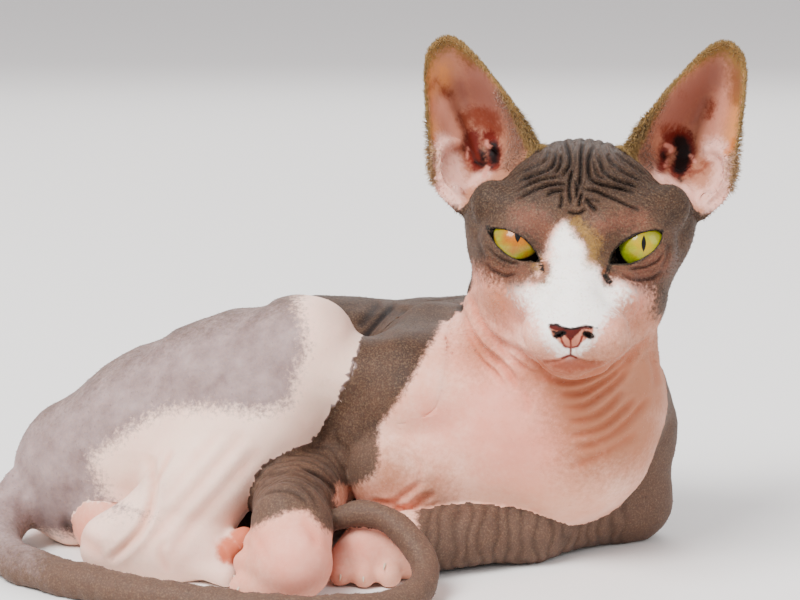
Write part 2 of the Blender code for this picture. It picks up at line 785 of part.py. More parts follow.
def build_tail(parts, tools, blockers):
    route = smooth_route(TAIL_RUN, TAIL_STEPS)
    flesh = Flesh((chain(*route), TAIL_SOFT))
    tail = skin_over("tail", flesh, flesh.forms(), 1.7, 660, tools)
    sliced(tail, (0, 0, FLOOR), (0, 0, 1), 0)
    carved(tail, blockers)
    for stop in TAIL_CUTS:
        here, there = route[stop * TAIL_STEPS][:3], route[stop * TAIL_STEPS + 1][:3]
        cutter = disc("tail_cut", here, there - here, 11, tools)
        combined(tail, cutter, "DIFFERENCE")
        bpy.data.objects.remove(cutter)
    anchors = {f"tail_{n + 1}": route[int(m * TAIL_STEPS)][:3] for n, m in enumerate(TAIL_MIDDLES)}
    loose_pieces(tail, anchors, parts)


def build_leg(name, flesh, planes, words, voxel, triangles, parts, tools, blockers):
    """A leg cut clear of what it lies against, then parted at its joints."""
    leg = skin_over(name, flesh, flesh.forms(), voxel, triangles, tools)
    sliced(leg, (0, 0, FLOOR), (0, 0, 1), 0)
    carved(leg, blockers)
    stand_off = grown(leg, GAP, tools)
    upper, lower = planes
    parted(
        leg,
        (
            (words[0], [flipped(upper)]),
            (words[1], [upper, flipped(lower)]),
            (words[2], [lower]),
        ),
        parts,
    )
    return stand_off


def bend_plane(first, corner, last, share=0.0):
    """The plane that halves the bend at a corner, moved a share of the way to the last point."""
    a, b, c = (np.array(p[:3], float) for p in (first, corner, last))
    normal = (b - a) / np.linalg.norm(b - a) + (c - b) / np.linalg.norm(c - b)
    return tuple(b + (c - b) * share), tuple(normal / np.linalg.norm(normal))


def settle(parts):
    """Moves the cat so that its box stands centred on the origin."""
    low = np.min([points_of(o).min(0) for o in parts.objects], axis=0)
    high = np.max([points_of(o).max(0) for o in parts.objects], axis=0)
    middle = (low + high) / 2
    for obj in parts.objects:
        put_points(obj, points_of(obj) - np.array([middle[0], middle[1], 0]))
        coat(obj)


def main():
    clear_scene()
    parts = collection("sphynx_cat")
    tools = collection("cutters")
    tools.hide_render = True
    trunk_off = build_trunk(parts, tools)
    head_off = build_head(parts, tools)
    body = [trunk_off, head_off]
    hind_right = build_leg(
        "hind_right", hind_leg(RIGHT_THIGH, RIGHT_SHANK, RIGHT_HIND_FOOT, RIGHT_HIND_TOES),
        (
            bend_plane(RIGHT_THIGH[2], RIGHT_THIGH[3], RIGHT_SHANK[1], 0.1),
            bend_plane(RIGHT_SHANK[2], RIGHT_HIND_FOOT[0], RIGHT_HIND_FOOT[1], 0.1),
        ),
        ("thigh_right", "shank_right", "hind_foot_right"), 2.4, 800, parts, tools, body,
    )
    fore_right = build_leg(
        "fore_right", fore_leg(RIGHT_UPPER_ARM, RIGHT_FOREARM, RIGHT_PAW, RIGHT_TOES),
        (
            bend_plane(RIGHT_UPPER_ARM[1], RIGHT_FOREARM[0], RIGHT_FOREARM[1], 0.1),
            bend_plane(RIGHT_FOREARM[1], RIGHT_FOREARM[2], RIGHT_PAW[1], 0.0),
        ),
        ("upper_arm_right", "forearm_right", "forepaw_right"),
        2.0, 800, parts, tools, body + [hind_right],
    )
    fore_left = build_leg(
        "fore_left", fore_leg(LEFT_UPPER_ARM, LEFT_FOREARM, LEFT_PAW, LEFT_TOES),
        (
            bend_plane(LEFT_UPPER_ARM[1], LEFT_FOREARM[0], LEFT_FOREARM[1], 0.1),
            bend_plane(LEFT_FOREARM[1], LEFT_FOREARM[2], LEFT_PAW[1], 0.0),
        ),
        ("upper_arm_left", "forearm_left", "forepaw_left"),
        2.0, 620, parts, tools, body + [fore_right],
    )
    hind_left = build_leg(
        "hind_left", hind_leg(LEFT_THIGH, LEFT_SHANK, LEFT_HIND_FOOT, flat_toes(LEFT_HIND_FOOT)),
        (
            bend_plane(LEFT_THIGH[1], LEFT_THIGH[2], LEFT_SHANK[1], 0.1),
            bend_plane(LEFT_SHANK[1], LEFT_HIND_FOOT[0], LEFT_HIND_FOOT[1], 0.1),
        ),
        ("thigh_left", "shank_left", "hind_foot_left"),
        2.4, 460, parts, tools, body + [hind_right, fore_right],
    )
    build_tail(parts, tools, body + [hind_right, fore_right, fore_left, hind_left])
    for helper in list(tools.objects):
        bpy.data.objects.remove(helper)
    settle(parts)


main()
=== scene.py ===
"""Looks of the life-size sphynx cat: one wrinkled skin over all its flesh, its eyes, claws and down.

Lengths are in millimetres in the frame the cat was posed in: X to the viewer's right, Y away from
the viewer and Z up. The settled place of the left eye gives the shift from there to the frame.
Marks and folds that the photograph shows are drawn in its own 800 by 600 pixels and carried onto
the skin along the camera's rays. Those it does not show follow rules of place.
"""

import json
import math

import bmesh
import bpy
import numpy as np
from mathutils import Matrix, Vector
from mathutils.kdtree import KDTree

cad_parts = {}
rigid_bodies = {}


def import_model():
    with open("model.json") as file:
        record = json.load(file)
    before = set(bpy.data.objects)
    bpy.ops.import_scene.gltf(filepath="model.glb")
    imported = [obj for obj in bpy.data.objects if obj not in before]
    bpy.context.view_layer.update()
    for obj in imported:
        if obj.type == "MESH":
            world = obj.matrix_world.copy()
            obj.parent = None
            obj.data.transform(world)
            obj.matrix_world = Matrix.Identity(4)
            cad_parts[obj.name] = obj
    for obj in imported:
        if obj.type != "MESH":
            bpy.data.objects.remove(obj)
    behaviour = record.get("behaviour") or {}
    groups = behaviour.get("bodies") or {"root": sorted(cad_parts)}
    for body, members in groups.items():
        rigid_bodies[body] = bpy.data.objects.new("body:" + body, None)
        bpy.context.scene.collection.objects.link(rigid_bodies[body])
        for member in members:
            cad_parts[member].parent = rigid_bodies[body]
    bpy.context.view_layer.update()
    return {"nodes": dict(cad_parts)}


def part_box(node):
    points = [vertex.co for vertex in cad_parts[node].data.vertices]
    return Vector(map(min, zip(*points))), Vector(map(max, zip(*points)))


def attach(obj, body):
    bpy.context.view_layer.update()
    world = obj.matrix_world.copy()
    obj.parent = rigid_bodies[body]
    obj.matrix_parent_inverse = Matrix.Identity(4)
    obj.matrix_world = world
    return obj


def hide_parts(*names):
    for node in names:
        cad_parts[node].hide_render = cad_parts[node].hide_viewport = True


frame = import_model()

MM = 0.001

# The head's place and turn, and the eyes, as the solids have them.
LOOK_UP = math.radians(9)
HEAD_ROLL = math.radians(1.6)
HEAD_TURN = math.radians(5)
HEAD_ORIGIN = np.array((64.2, 0.0, 119.8))
EYE_AT = np.array((21.6, -10.3, -0.2))
EYEBALL = 10.4
NOSE_AT = (-0.4, -45.5, -30.4)

# The photograph's camera: its height angle, its distance and its focal length in pixels.
CAMERA_TILT = math.radians(9)
CAMERA_AWAY = 800.0
CAMERA_AIM = np.array((0.0, 0.0, 100.0))
LENS = 100.0
FILM = 36.0
PHOTO_WIDE, PHOTO_HIGH = 800, 600
FOCAL = PHOTO_WIDE * LENS / FILM
PX = FOCAL / CAMERA_AWAY

# Runs of the body as (x, y, z, radius).
TRUNK_RUN = (
    (44, 60, 48, 38), (14, 84, 47, 37), (-30, 96, 46, 37), (-76, 92, 36, 32),
    (-110, 74, 27, 26), (-134, 56, 19, 17),
)
NECK_RUN = ((60, 34, 104, 29), (59, 24, 88, 33), (59, 24, 66, 37))
RIGHT_THIGH = ((-119, 48, 25, 30), (-90, 43, 40, 33), (-62, 36, 56, 32), (-37, 25, 78, 20))
RIGHT_SHANK = ((-35, 23, 74, 18), (-52, 14, 54, 18.5), (-73, 1, 29, 16.2), (-103, -9, 13, 10))
RIGHT_HIND_FOOT = ((-103, -9, 11, 11), (-84, -10, 9.8, 10.4), (-70, -11, 9.6, 10))
LEFT_THIGH = ((-112, 60, 24, 22), (-76, 56, 24, 22), (-42, 50, 24, 18))
LEFT_SHANK = ((-42, 50, 22, 15), (-76, 34, 18, 12), (-110, 20, 11, 9.5))
LEFT_HIND_FOOT = ((-110, 20, 9, 9.5), (-86, 16, 8.6, 9.2), (-62, 19, 8.6, 9.2))
RIGHT_UPPER_ARM = ((14, 50, 72, 19), (3, 21, 64, 19), (-14, 28, 48, 17.5), (-24, 42, 33, 15))
RIGHT_FOREARM = ((-25, 40, 32, 14.5), (-38, 4, 26.5, 15), (-39, -27, 26, 13))
RIGHT_PAW = ((-38, -29, 22, 13), (-38, -40, 14, 14.6))
LEFT_UPPER_ARM = ((76, 52, 66, 20), (85, 44, 44, 19), (88, 48, 15, 15.5))
LEFT_FOREARM = ((88, 46, 14.5, 15), (46, 14, 13, 13), (6, -8, 12, 11))
LEFT_PAW = ((2, -10, 11.5, 10.8), (-12, -13, 10.2, 10.8))
# Toes as (knuckle, tip).
RIGHT_TOES = (
    ((-44, -36, 20), (-51, -26, 17)), ((-46, -41, 13), (-54, -31, 11)), ((-46, -44, 6), (-55, -37, 4.2)),
)
RIGHT_HIND_TOES = (
    ((-70, -4, 8.5), (-58, -2, 3.8)), ((-68, -8, 9), (-56, -15.5, 15.5)),
    ((-72, -12, 8.5), (-61, -18, 11.5)), ((-74, -16, 7), (-62, -22, 3.8)),
)
LEFT_TOES = (
    ((-20, -15, 9), (-21, -21, 4.2)), ((-13, -17, 9), (-13, -23, 4.0)), ((-5, -17, 9), (-4, -22, 4.2)),
)
TAIL_RUN = (
    (-126, 52, 26, 13), (-143, 38, 19, 10.5), (-150, 16, 9.5, 8.6), (-142, -8, 6.8, 7.3),
    (-124, -27, 6.0, 6.6), (-100, -43, 5.4, 6.0), (-72, -57, 5.0, 5.6), (-42, -66, 4.6, 5.2),
    (-14, -64, 4.4, 5.0), (3, -52, 4.8, 4.8), (9, -38, 9, 4.7), (5, -28, 17, 4.6),
    (-4, -22, 24, 4.4), (-14, -18, 26, 4.1), (-22, -16, 23.5, 3.6), (-27, -12, 19, 3.0),
)
TAIL_STEPS = 4
HIND_TOE_RADIUS = 4.7
RIGHT_TOE_RADIUS = 5.4
LEFT_TOE_RADIUS = 5.0
TOE_TAPER = 0.92
# The toes that lie flat: how high the knuckles are and how far the tips sink into the floor.
TOE_RISE = 8.5
FLAT_SINK = 0.9


def turned(x=0.0, y=0.0, z=0.0):
    """Rotation matrix from degrees about X, then Y, then Z."""
    about = [Matrix.Rotation(math.radians(angle), 3, axis) for angle, axis in zip((x, y, z), "XYZ")]
    return np.array(about[2] @ about[1] @ about[0])


LOOKING_UP = Matrix.Rotation(-LOOK_UP, 3, "X")
ROLLED = Matrix.Rotation(HEAD_ROLL, 3, "Y")
HEAD_AXES = np.array(LOOKING_UP @ ROLLED @ Matrix.Rotation(-HEAD_TURN, 3, "Z"))


def on_head(point):
    """Where a point of the head comes to lie in the posed frame."""
    return HEAD_AXES @ np.array(point, float) + HEAD_ORIGIN


def in_head(points):
    """Points measured in the head's own directions: its left, its back and its crown."""
    return (points - HEAD_ORIGIN.astype(np.float32)) @ HEAD_AXES.astype(np.float32)


eye_low, eye_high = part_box("eye_left")
SHIFT = np.array((eye_low + eye_high) / 2) / MM - on_head(EYE_AT)


def in_photo(points):
    """Where points fall in the photograph, in pixels."""
    ahead = np.array((0, math.cos(CAMERA_TILT), -math.sin(CAMERA_TILT)))
    up = np.array((0, math.sin(CAMERA_TILT), math.cos(CAMERA_TILT)))
    rays = points - (CAMERA_AIM - ahead * CAMERA_AWAY)
    depth = rays @ ahead
    across = PHOTO_WIDE / 2 + FOCAL * rays[:, 0] / depth
    down = PHOTO_HIGH / 2 - FOCAL * (rays @ up) / depth
    return np.stack((across, down), 1)


def melt(first, second, soft):
    """The nearer of two surfaces, run together softly where they meet."""
    share = np.clip(0.5 + 0.5 * (second - first) / soft, 0, 1)
    return second * (1 - share) + first * share - soft * share * (1 - share)


def ramp(values, low, high):
    """Rises smoothly from 0 at low to 1 at high."""
    t = np.clip((values - low) / (high - low), 0, 1)
    return t * t * (3 - 2 * t)


def small(values):
    """Numbers at single precision, which is quick and more than fine enough here."""
    return np.array(values, np.float32)


def length(rows):
    """Length of each row."""
    return np.sqrt(np.einsum("ij,ij->i", rows, rows))


def inside(points, low, high):
    """Which points are in a box."""
    x, y, z = points.T
    flat = (x > low[0]) & (x < high[0]) & (y > low[1]) & (y < high[1])
    return np.nonzero(flat & (z > low[2]) & (z < high[2]))[0]


class Ball:
    """An ellipsoid of flesh."""

    def __init__(self, centre, radii, turn=None):
        self.centre = small(centre)
        self.radii = small(radii if np.iterable(radii) else (radii,) * 3)
        self.axes = small(np.eye(3) if turn is None else turn)
        reach = self.radii.max()
        self.low, self.high = self.centre - reach, self.centre + reach

    def distance(self, points):
        """About how far points are from the surface."""
        local = (points - self.centre) @ self.axes / self.radii
        near = length(local) + 1e-6
        return near * (near - 1) / (length(local / self.radii) + 1e-6)


class Limb:
    """A run of flesh whose thickness changes evenly from one end to the other."""

    def __init__(self, start, end, start_radius, end_radius):
        self.start, self.end = small(start), small(end)
        self.ends = (start_radius, end_radius)
        self.low = np.minimum(self.start - start_radius, self.end - end_radius)
        self.high = np.maximum(self.start + start_radius, self.end + end_radius)

    def distance(self, points):
        """How far points are from the surface."""
        run = self.end - self.start
        local = points - self.start
        along = np.clip(local @ run / (run @ run), 0, 1)
        local -= along[:, None] * run
        return length(local) - self.ends[0] - along * (self.ends[1] - self.ends[0])


# How far from a form it is still measured, and what is said of points farther away, in mm.
NEAR = 16.0
FAR = 1e3


class Flesh:
    """A family of forms melted into one surface. Each batch is (forms, softness)."""

    def __init__(self, *batches):
        self.batches = batches
        forms = [form for batch, _ in batches for form in batch]
        self.low = np.min([f.low for f in forms], axis=0) - NEAR
        self.high = np.max([f.high for f in forms], axis=0) + NEAR

    def distance(self, points):
        """Distance to the surface, or a large number well away from it."""
        total = np.full(len(points), FAR, np.float32)
        close = inside(points, self.low, self.high)
        here = points[close]
        found = np.full(len(here), FAR, np.float32)
        for forms, soft in self.batches:
            for form in forms:
                near = inside(here, form.low - NEAR, form.high + NEAR)
                found[near] = melt(found[near], form.distance(here[near]), soft)
        total[close] = found
        return total


def chain(*stations):
    """Limbs through stations of (x, y, z, radius)."""
    return [Limb(a[:3], b[:3], a[3], b[3]) for a, b in zip(stations, stations[1:])]


def head_ball(centre, radii, turn=None):
    """A ball placed and turned with the head."""
    return Ball(on_head(centre), radii, HEAD_AXES if turn is None else HEAD_AXES @ turn)


def both_sides(centre, radii, tilt=(0, 0, 0)):
    """The same ball on each side of the head."""
    x, y, z = centre
    return [
        head_ball((side * x, y, z), radii, turned(tilt[0], side * tilt[1], side * tilt[2]))
        for side in (-1, 1)
    ]


def smooth_route(stations, steps):
    """Stations joined by a Catmull-Rom curve, sampled steps times between each two."""
    knots = np.array([stations[0], *stations, stations[-1]], float)
    route = []
    for i in range(1, len(knots) - 2):
        p0, p1, p2, p3 = knots[i - 1 : i + 3]
        for t in np.arange(steps) / steps:
            curve = 2 * p1 + (p2 - p0) * t + (2 * p0 - 5 * p1 + 4 * p2 - p3) * t**2
            route.append((curve + (3 * p1 - p0 - 3 * p2 + p3) * t**3) / 2)
    return [*route, knots[-1]]


def flat_toes(foot):
    """Four toes side by side beyond the foot's last station."""
    heel, ball = (np.array(foot[i][:3], float) for i in (0, -1))
    ahead = (ball - heel) / np.linalg.norm(ball - heel)
    side = np.cross(ahead, (0, 0, 1))
    toes = []
    for place in (-1.5, -0.5, 0.5, 1.5):
        knuckle = ball + ahead * 2 + place * (side * 5.4)
        tip = ball + ahead * 15 + place * (side * 5.8)
        knuckle[2] = TOE_RISE
        tip[2] = HIND_TOE_RADIUS - FLAT_SINK
        toes.append((knuckle, tip))
    return toes


def leg(upper, lower, foot, toes, toe_radius, foot_soft, toe_soft):
    """A leg from its two long parts, its foot and its toes."""
    row = [Limb(a, b, toe_radius, toe_radius * TOE_TAPER) for a, b in toes]
    return Flesh((chain(*upper), 10), (chain(*lower), 9), (chain(*foot), foot_soft), (row, toe_soft))


def hind_leg(thigh, shank, foot, toes):
    """A hind leg, whose toes all have one thickness."""
    return leg(thigh, shank, foot, toes, HIND_TOE_RADIUS, 8, 2.2)


def fore_leg(upper, lower, paw, toes, toe_radius):
    """A fore leg. The toes of its two paws differ in thickness."""
    return leg(upper, lower, paw, toes, toe_radius, 7, 2.4)


# The flesh of the head, face, body and nose, and the hollows of the nostrils.
HEAD_FORMS = [
    head_ball((0, 22, 10), (33, 37, 30)),
    head_ball((0, 2, 13), (27, 21, 19)),
    head_ball((0, 6, -14), (25, 25, 18)),
    head_ball((-24.5, 5, -3), (14.5, 20, 15)),
    head_ball((22.3, 5, -2.5), (13.8, 20, 15)),
    head_ball((-18.5, -4, -18), (14.5, 17, 12)),
    head_ball((16.2, -4, -18), (13.8, 17, 12)),
    *both_sides((30, 24, 17), (13, 15, 16)),
    *both_sides((35, 11, 9), (5.5, 9, 11)),
    Limb(on_head((-6, -25, -36.5)), on_head((-19, 4, -24)), 8.5, 11.5),
    Limb(on_head((6, -25, -36.5)), on_head((16.7, 4, -24)), 8.5, 11.2),
]
FACE_FORMS = [
    head_ball((0, -14, -2), (14, 12, 12)),
    head_ball((0, -26, -13), (11.5, 10, 10)),
    head_ball((0, -35, -22.5), (9.4, 8, 8)),
    *both_sides((13, -22, -17), (9.5, 10.5, 10.5)),
    *both_sides((8.2, -33, -30.5), (10.2, 10.5, 9.2), (0, 12, 0)),
    head_ball((0.2, -38.5, -28), (8.4, 7, 6.6)),
    head_ball((0, -28.5, -39.5), (9.8, 9.5, 6.8)),
    *[Limb(on_head((x * 9, -17.5, 7)), on_head((x * 31, -4, 14.5)), 6.2, 8) for x in (-1, 1)],
    *both_sides((21.6, -9.4, -0.2), (12.4, 12.0, 11.4)),
]
BODY_FORMS = [
    Ball((46, 50, 46), (56, 42, 46), turned(z=-45)),
    Ball((56, 15, 54), (36, 25, 38)),
    Ball((22, 20, 44), (25, 21, 33)),
    Ball((0, 15, 36), (20, 19, 22)),
    Ball((48, 60, 60), (36, 32, 28)),
    Ball((-36, 90, 34), (58, 41, 38)),
    *chain(*TRUNK_RUN),
]
NOSE_FORMS = [
    head_ball(np.add(NOSE_AT, (x, 3.4, z)), radii)
    for x, z, radii in (
        (-3.9, 0.9, (4.2, 4.6, 3.0)), (3.9, 0.9, (4.2, 4.6, 3.0)), (0, 0.2, (3.6, 5.0, 3.6)),
        (-2.6, -2.0, (2.9, 4.2, 2.6)), (2.6, -2.0, (2.9, 4.2, 2.6)),
    )
]
NOSTRILS = [
    head_ball(np.add(NOSE_AT, (side * 5.0, -0.6, -1.1)), (2.1, 3.4, 0.95), turned(y=side * 24))
    for side in (-1, 1)
]
TRUNK = Flesh((HEAD_FORMS, 9), (FACE_FORMS, 5), (chain(*NECK_RUN), 12), (BODY_FORMS, 14), (NOSE_FORMS, 1.3))
SKULL = Flesh((HEAD_FORMS, 9), (FACE_FORMS, 5))
LIMBS = {
    "hind_right": hind_leg(RIGHT_THIGH, RIGHT_SHANK, RIGHT_HIND_FOOT, RIGHT_HIND_TOES),
    "fore_right": fore_leg(RIGHT_UPPER_ARM, RIGHT_FOREARM, RIGHT_PAW, RIGHT_TOES, RIGHT_TOE_RADIUS),
    "fore_left": fore_leg(LEFT_UPPER_ARM, LEFT_FOREARM, LEFT_PAW, LEFT_TOES, LEFT_TOE_RADIUS),
    "hind_left": hind_leg(LEFT_THIGH, LEFT_SHANK, LEFT_HIND_FOOT, flat_toes(LEFT_HIND_FOOT)),
    "tail": Flesh((chain(*smooth_route(TAIL_RUN, TAIL_STEPS)), 1.5)),
}

# How softly each limb joins the trunk:
# (softness in mm when clear of it, more at its root, where its root is, where it is clear, axis)
JOINS = {
    "hind_right": (1.6, 15.0, -112, -76, 0),
    "fore_right": (1.6, 18.0, 70, 40, 2),
    "fore_left": (1.6, 13.0, 66, 36, 2),
    "hind_left": (1.6, 9.0, -110, -80, 0),
    "tail": (0.7, 7.0, -138, -146, 0),
}


def along_line(spots, line):
    """Distance to a bent line, and the share of the way along it."""
    line = np.array(line, float)
    runs = line[1:] - line[:-1]
    lengths = np.maximum(np.linalg.norm(runs, axis=1), 1e-6)
    done = np.concatenate(([0], np.cumsum(lengths)))
    best = np.full(len(spots), FAR)
    share = np.zeros(len(spots))
    for start, run, reach, before in zip(line, runs, lengths, done):
        t = np.clip((spots - start) @ run / reach**2, 0, 1)
        gap = np.linalg.norm(spots - start - t[:, None] * run, axis=1)
        near = gap < best
        best[near] = gap[near]
        share[near] = ((before + t * reach) / done[-1])[near]
    return best, share


def within(spots, outline):
    """Millimetres inside a closed outline drawn in pixels, negative outside."""
    ring = np.array(outline, float)
    gap, _ = along_line(spots, [*ring, ring[0]])
    inner = np.zeros(len(spots), bool)
    for (x0, y0), (x1, y1) in zip(ring, np.roll(ring, -1, axis=0)):
        if y0 != y1:
            cross = (spots[:, 1] < y0) != (spots[:, 1] < y1)
            inner ^= cross & (spots[:, 0] < x0 + (x1 - x0) * (spots[:, 1] - y0) / (y1 - y0))
    return np.where(inner, gap, -gap) / PX


# Outlines of the openings between the lids, on the photograph.
RIGHT_LIDS = (
    (488, 229.4), (495, 228.2), (504.5, 229.6), (511.6, 232.4), (518.8, 236), (525, 240.2), (531, 246),
    (536, 252.8), (539, 259.5), (541, 264.5), (536, 262.4), (531, 260.4), (525.5, 260.6), (518.8, 259.7),
    (511.6, 256.8), (504.5, 252.4), (497.3, 245.8), (492.5, 239), (489, 233),
)
LEFT_LIDS = (
    (609.3, 265), (610.2, 259.5), (612.5, 253), (616.4, 248.4), (621.5, 244), (628.2, 239.7),
    (634.8, 236.5), (641, 233.4), (648.6, 231.3), (656.2, 230), (662.3, 233.5), (661.3, 238.7), (658.5, 244.4),
    (653.8, 250.4), (647, 255.8), (639.9, 260.6), (630.7, 263.6), (621.5, 264.2), (615.4, 264.2),
)


def lens(points, side):
    """Distance to the opening between the lids of the eye on this side, negative inside it."""
    found = np.full(len(points), FAR, np.float32)
    middle = on_head(EYE_AT * (side, 1, 1))
    close = inside(points, middle - (14, 16, 12), middle + (14, 3, 12))
    if len(close):
        found[close] = -within(in_photo(points[close]), LEFT_LIDS if side > 0 else RIGHT_LIDS)
    return found


# The hollow behind the lids, and how softly its edge and the nostrils' edges are rounded, in mm.
SOCKET = 9.5
LID_SOFT = 0.7
NOSTRIL_SOFT = 0.5


def cat(points):
    """Distance to the whole cat's skin before it wrinkles."""
    total = TRUNK.distance(points)
    for name, limb in LIMBS.items():
        least, extra, root, clear, axis = JOINS[name]
        soft = least + extra * (1 - ramp(np.abs(points[:, axis] - root), 0, abs(clear - root)))
        total = melt(total, limb.distance(points), soft)
    local = in_head(points)
    for side in (-1, 1):
        ball = np.linalg.norm(local - EYE_AT * (side, 1, 1), axis=1) - SOCKET
        opening = np.minimum(-lens(points, side), ball)
        total = -melt(-total, -opening, LID_SOFT)
    for nostril in NOSTRILS:
        total = -melt(-total, nostril.distance(points), NOSTRIL_SOFT)
    return np.maximum(total, -points[:, 2])


# The corners of a small tetrahedron, at which the slope of the skin is felt, and its half size in mm.
CORNERS = small(((1, -1, -1), (-1, -1, 1), (-1, 1, -1), (1, 1, 1)))
FEEL = 0.15
# The farthest that a point is moved in one pass, in mm.
LEAP = 2


def pressed(points, ways, weight, passes):
    """Points moved along these directions until they lie on the skin."""
    for _ in range(passes):
        points = points - (weight * np.clip(cat(points), -LEAP, LEAP))[:, None] * ways
    return points


def drawn_to_skin(points, weight, passes):
    """Points moved along the slope of the skin until they lie on it."""
    for _ in range(passes):
        slope = np.zeros_like(points)
        height = np.zeros(len(points), np.float32)
        for corner in CORNERS:
            found = cat(points + corner * FEEL)
            slope += found[:, None] * corner / (4 * FEEL)
            height += found / 4
        steep = np.maximum((slope**2).sum(1), 0.3)
        points = points - (weight * np.clip(height / steep, -LEAP, LEAP))[:, None] * slope
    return points


# Working on meshes.


def only(*pieces):
    """Selects these pieces and nothing else."""
    bpy.ops.object.select_all(action="DESELECT")
    for piece in pieces:
        piece.select_set(True)
    bpy.context.view_layer.objects.active = pieces[0]


def shaped(piece, kind, **settings):
    """Adds a modifier to a piece and applies it."""
    only(piece)
    step = piece.modifiers.new(kind.lower(), kind)
    for name, value in settings.items():
        setattr(step, name, value)
    bpy.ops.object.modifier_apply(modifier=step.name)
    return piece


def read(items, what, wide=1, kind=np.float32):
    """One thing about every vertex, edge, corner or face, as an array."""
    flat = np.empty(len(items) * wide, kind)
    items.foreach_get(what, flat)
    return flat.reshape(-1, wide) if wide > 1 else flat


def points_of(piece):
    """A piece's vertices in millimetres in the posed frame."""
    return read(piece.data.vertices, "co", 3) / np.float32(MM) - small(SHIFT)


def put_points(piece, points):
    """Moves a piece's vertices to these points."""
    piece.data.vertices.foreach_set("co", ((points + SHIFT) * MM).ravel().astype(np.float32))
    piece.data.update()


def normals_of(piece):
    """The way the skin faces at each vertex."""
    return read(piece.data.vertex_normals, "vector", 3)


def edges_of(piece):
    """The two vertices of each edge."""
    return read(piece.data.edges, "vertices", 2, np.int32)


def put_marks(piece, marks):
    """Stores marks on a piece's vertices, where its finish reads them by name."""
    for name, values in marks.items():
        layer = piece.data.attributes.new(name, "FLOAT", "POINT")
        layer.data.foreach_set("value", np.asarray(values, np.float32))


def eased(points, edges, weight, passes):
    """Points drawn towards the middle of their neighbours."""
    a, b = edges[:, 0], edges[:, 1]
    count = np.bincount(a, minlength=len(points)) + np.bincount(b, minlength=len(points))
    for _ in range(passes):
        total = np.zeros_like(points)
        for axis in range(3):
            ahead = np.bincount(a, points[b, axis], len(points))
            total[:, axis] = ahead + np.bincount(b, points[a, axis], len(points))
        middle = total / np.maximum(count, 1)[:, None]
        points = small(points + weight[:, None] * (middle - points))
    return points


def new_piece(name, vertices, faces):
    """A mesh object from points in the posed frame."""
    data = bpy.data.meshes.new(name)
    placed = (np.asarray(vertices, float) + SHIFT) * MM
    data.from_pydata(placed.tolist(), [], faces)
    data.validate()
    piece = bpy.data.objects.new(name, data)
    bpy.context.scene.collection.objects.link(piece)
    return piece


# The ears.

# The rim of the ear's opening, from the notch out and up to the tip and back down its front.
EAR_RIM = (
    (45, 15, 11.4), (50.2, 17, 16.3), (54, 19, 24), (56.5, 20.5, 36.5), (57.8, 22, 48),
    (58.9, 23.3, 58.6), (59, 24.3, 68.4), (57, 25, 73.8), (51.9, 25.5, 77.4), (45, 24, 74.6),
    (34, 20, 62.6), (24.3, 15.5, 49.6), (18.7, 12.5, 40), (16.2, 10.5, 34.5), (20.3, 8.5, 27),
    (28.5, 8.5, 20.6), (39, 12, 15.5),
)
# Where the ear's wall runs in to, how far it is cupped, how thick it is and how deep its bowl is.
EAR_CANAL = (34, 37, 30)
EAR_CUP = 8.0
EAR_WALL = 1.8
BOWL_DEPTH = 2.6
# Rings of points from the rim to the canal, and points between each two of the rim.
EAR_RINGS = 18
EAR_STEPS = 3

# Folds of the inner ear on the cat's left:
# (route as x and z on the head, radius, how proud of the wall)
EAR_FOLDS = (
    (((47, 37.6), (50.4, 37.4), (53.2, 34), (54.2, 28), (52.5, 22), (48.5, 17.5), (43, 15)), 2.5, 1.4),
    (((42.4, 35), (41.6, 32), (39.2, 29.5)), 1.2, 1.8),
    (((41.4, 30), (39.6, 28.6)), 1.7, 1.6),
    (((36.3, 27.5), (37, 24), (39.4, 20.5)), 2.3, 1.2),
    (((33, 25.6), (29, 26.2)), 2.0, 1.0),
    (((34, 38.4), (31.4, 36.8)), 1.8, 3.0),
    (((29.5, 31.6), (34, 30.2)), 1.1, 3.0),
)

# Flesh that fills the angle between the ear's base and the head.
EAR_ROOT = (
    ((43, 19, 12.5), 4.6), ((38, 20, 8), 6.5), ((47, 22, 18), 4.0), ((35, 16, 12), 6.0), ((30, 14, 15), 6.0),
)

# The edge where the ear's wall drops into its bowl, as x and z on the head, from the top down.
BOWL_EDGE = ((50.5, 60), (49.8, 55.8), (46, 47), (43.4, 38), (42.6, 33))


def mirrored(place, side):
    """A place on the head's left, or the same place on its right where side is -1."""
    return on_head(np.multiply(place, (side, 1, 1)))


def ear_sheet(side):
    """Points of the ear's middle sheet, ring by ring from its rim to the canal."""
    rim = smooth_route([*EAR_RIM, EAR_RIM[0]], EAR_STEPS)[:-1]
    canal = np.array(EAR_CANAL, float)
    rows = []
    for share in np.linspace(0, 1, EAR_RINGS)[:-1]:
        lift = EAR_CUP * math.sin(math.pi * share) ** 0.8
        for place in rim:
            cup = lift * np.clip((place[2] - 18) / 34, 0.15, 1)
            spot = place * (1 - share) + canal * share + np.array((0.05, 1, -0.1)) * cup
            edge = np.interp(spot[2], *np.array(BOWL_EDGE)[::-1].T[::-1])
            bowl = ramp(edge - spot[0], -1.6, 1.6) * ramp(spot[2], 30, 36) * ramp(-spot[2], -64, -54)
            spot[1] += BOWL_DEPTH * bowl * min(1.0, share * 5)
            rows.append(mirrored(spot, side))
    return np.array([*rows, mirrored(canal, side)]), len(rim)


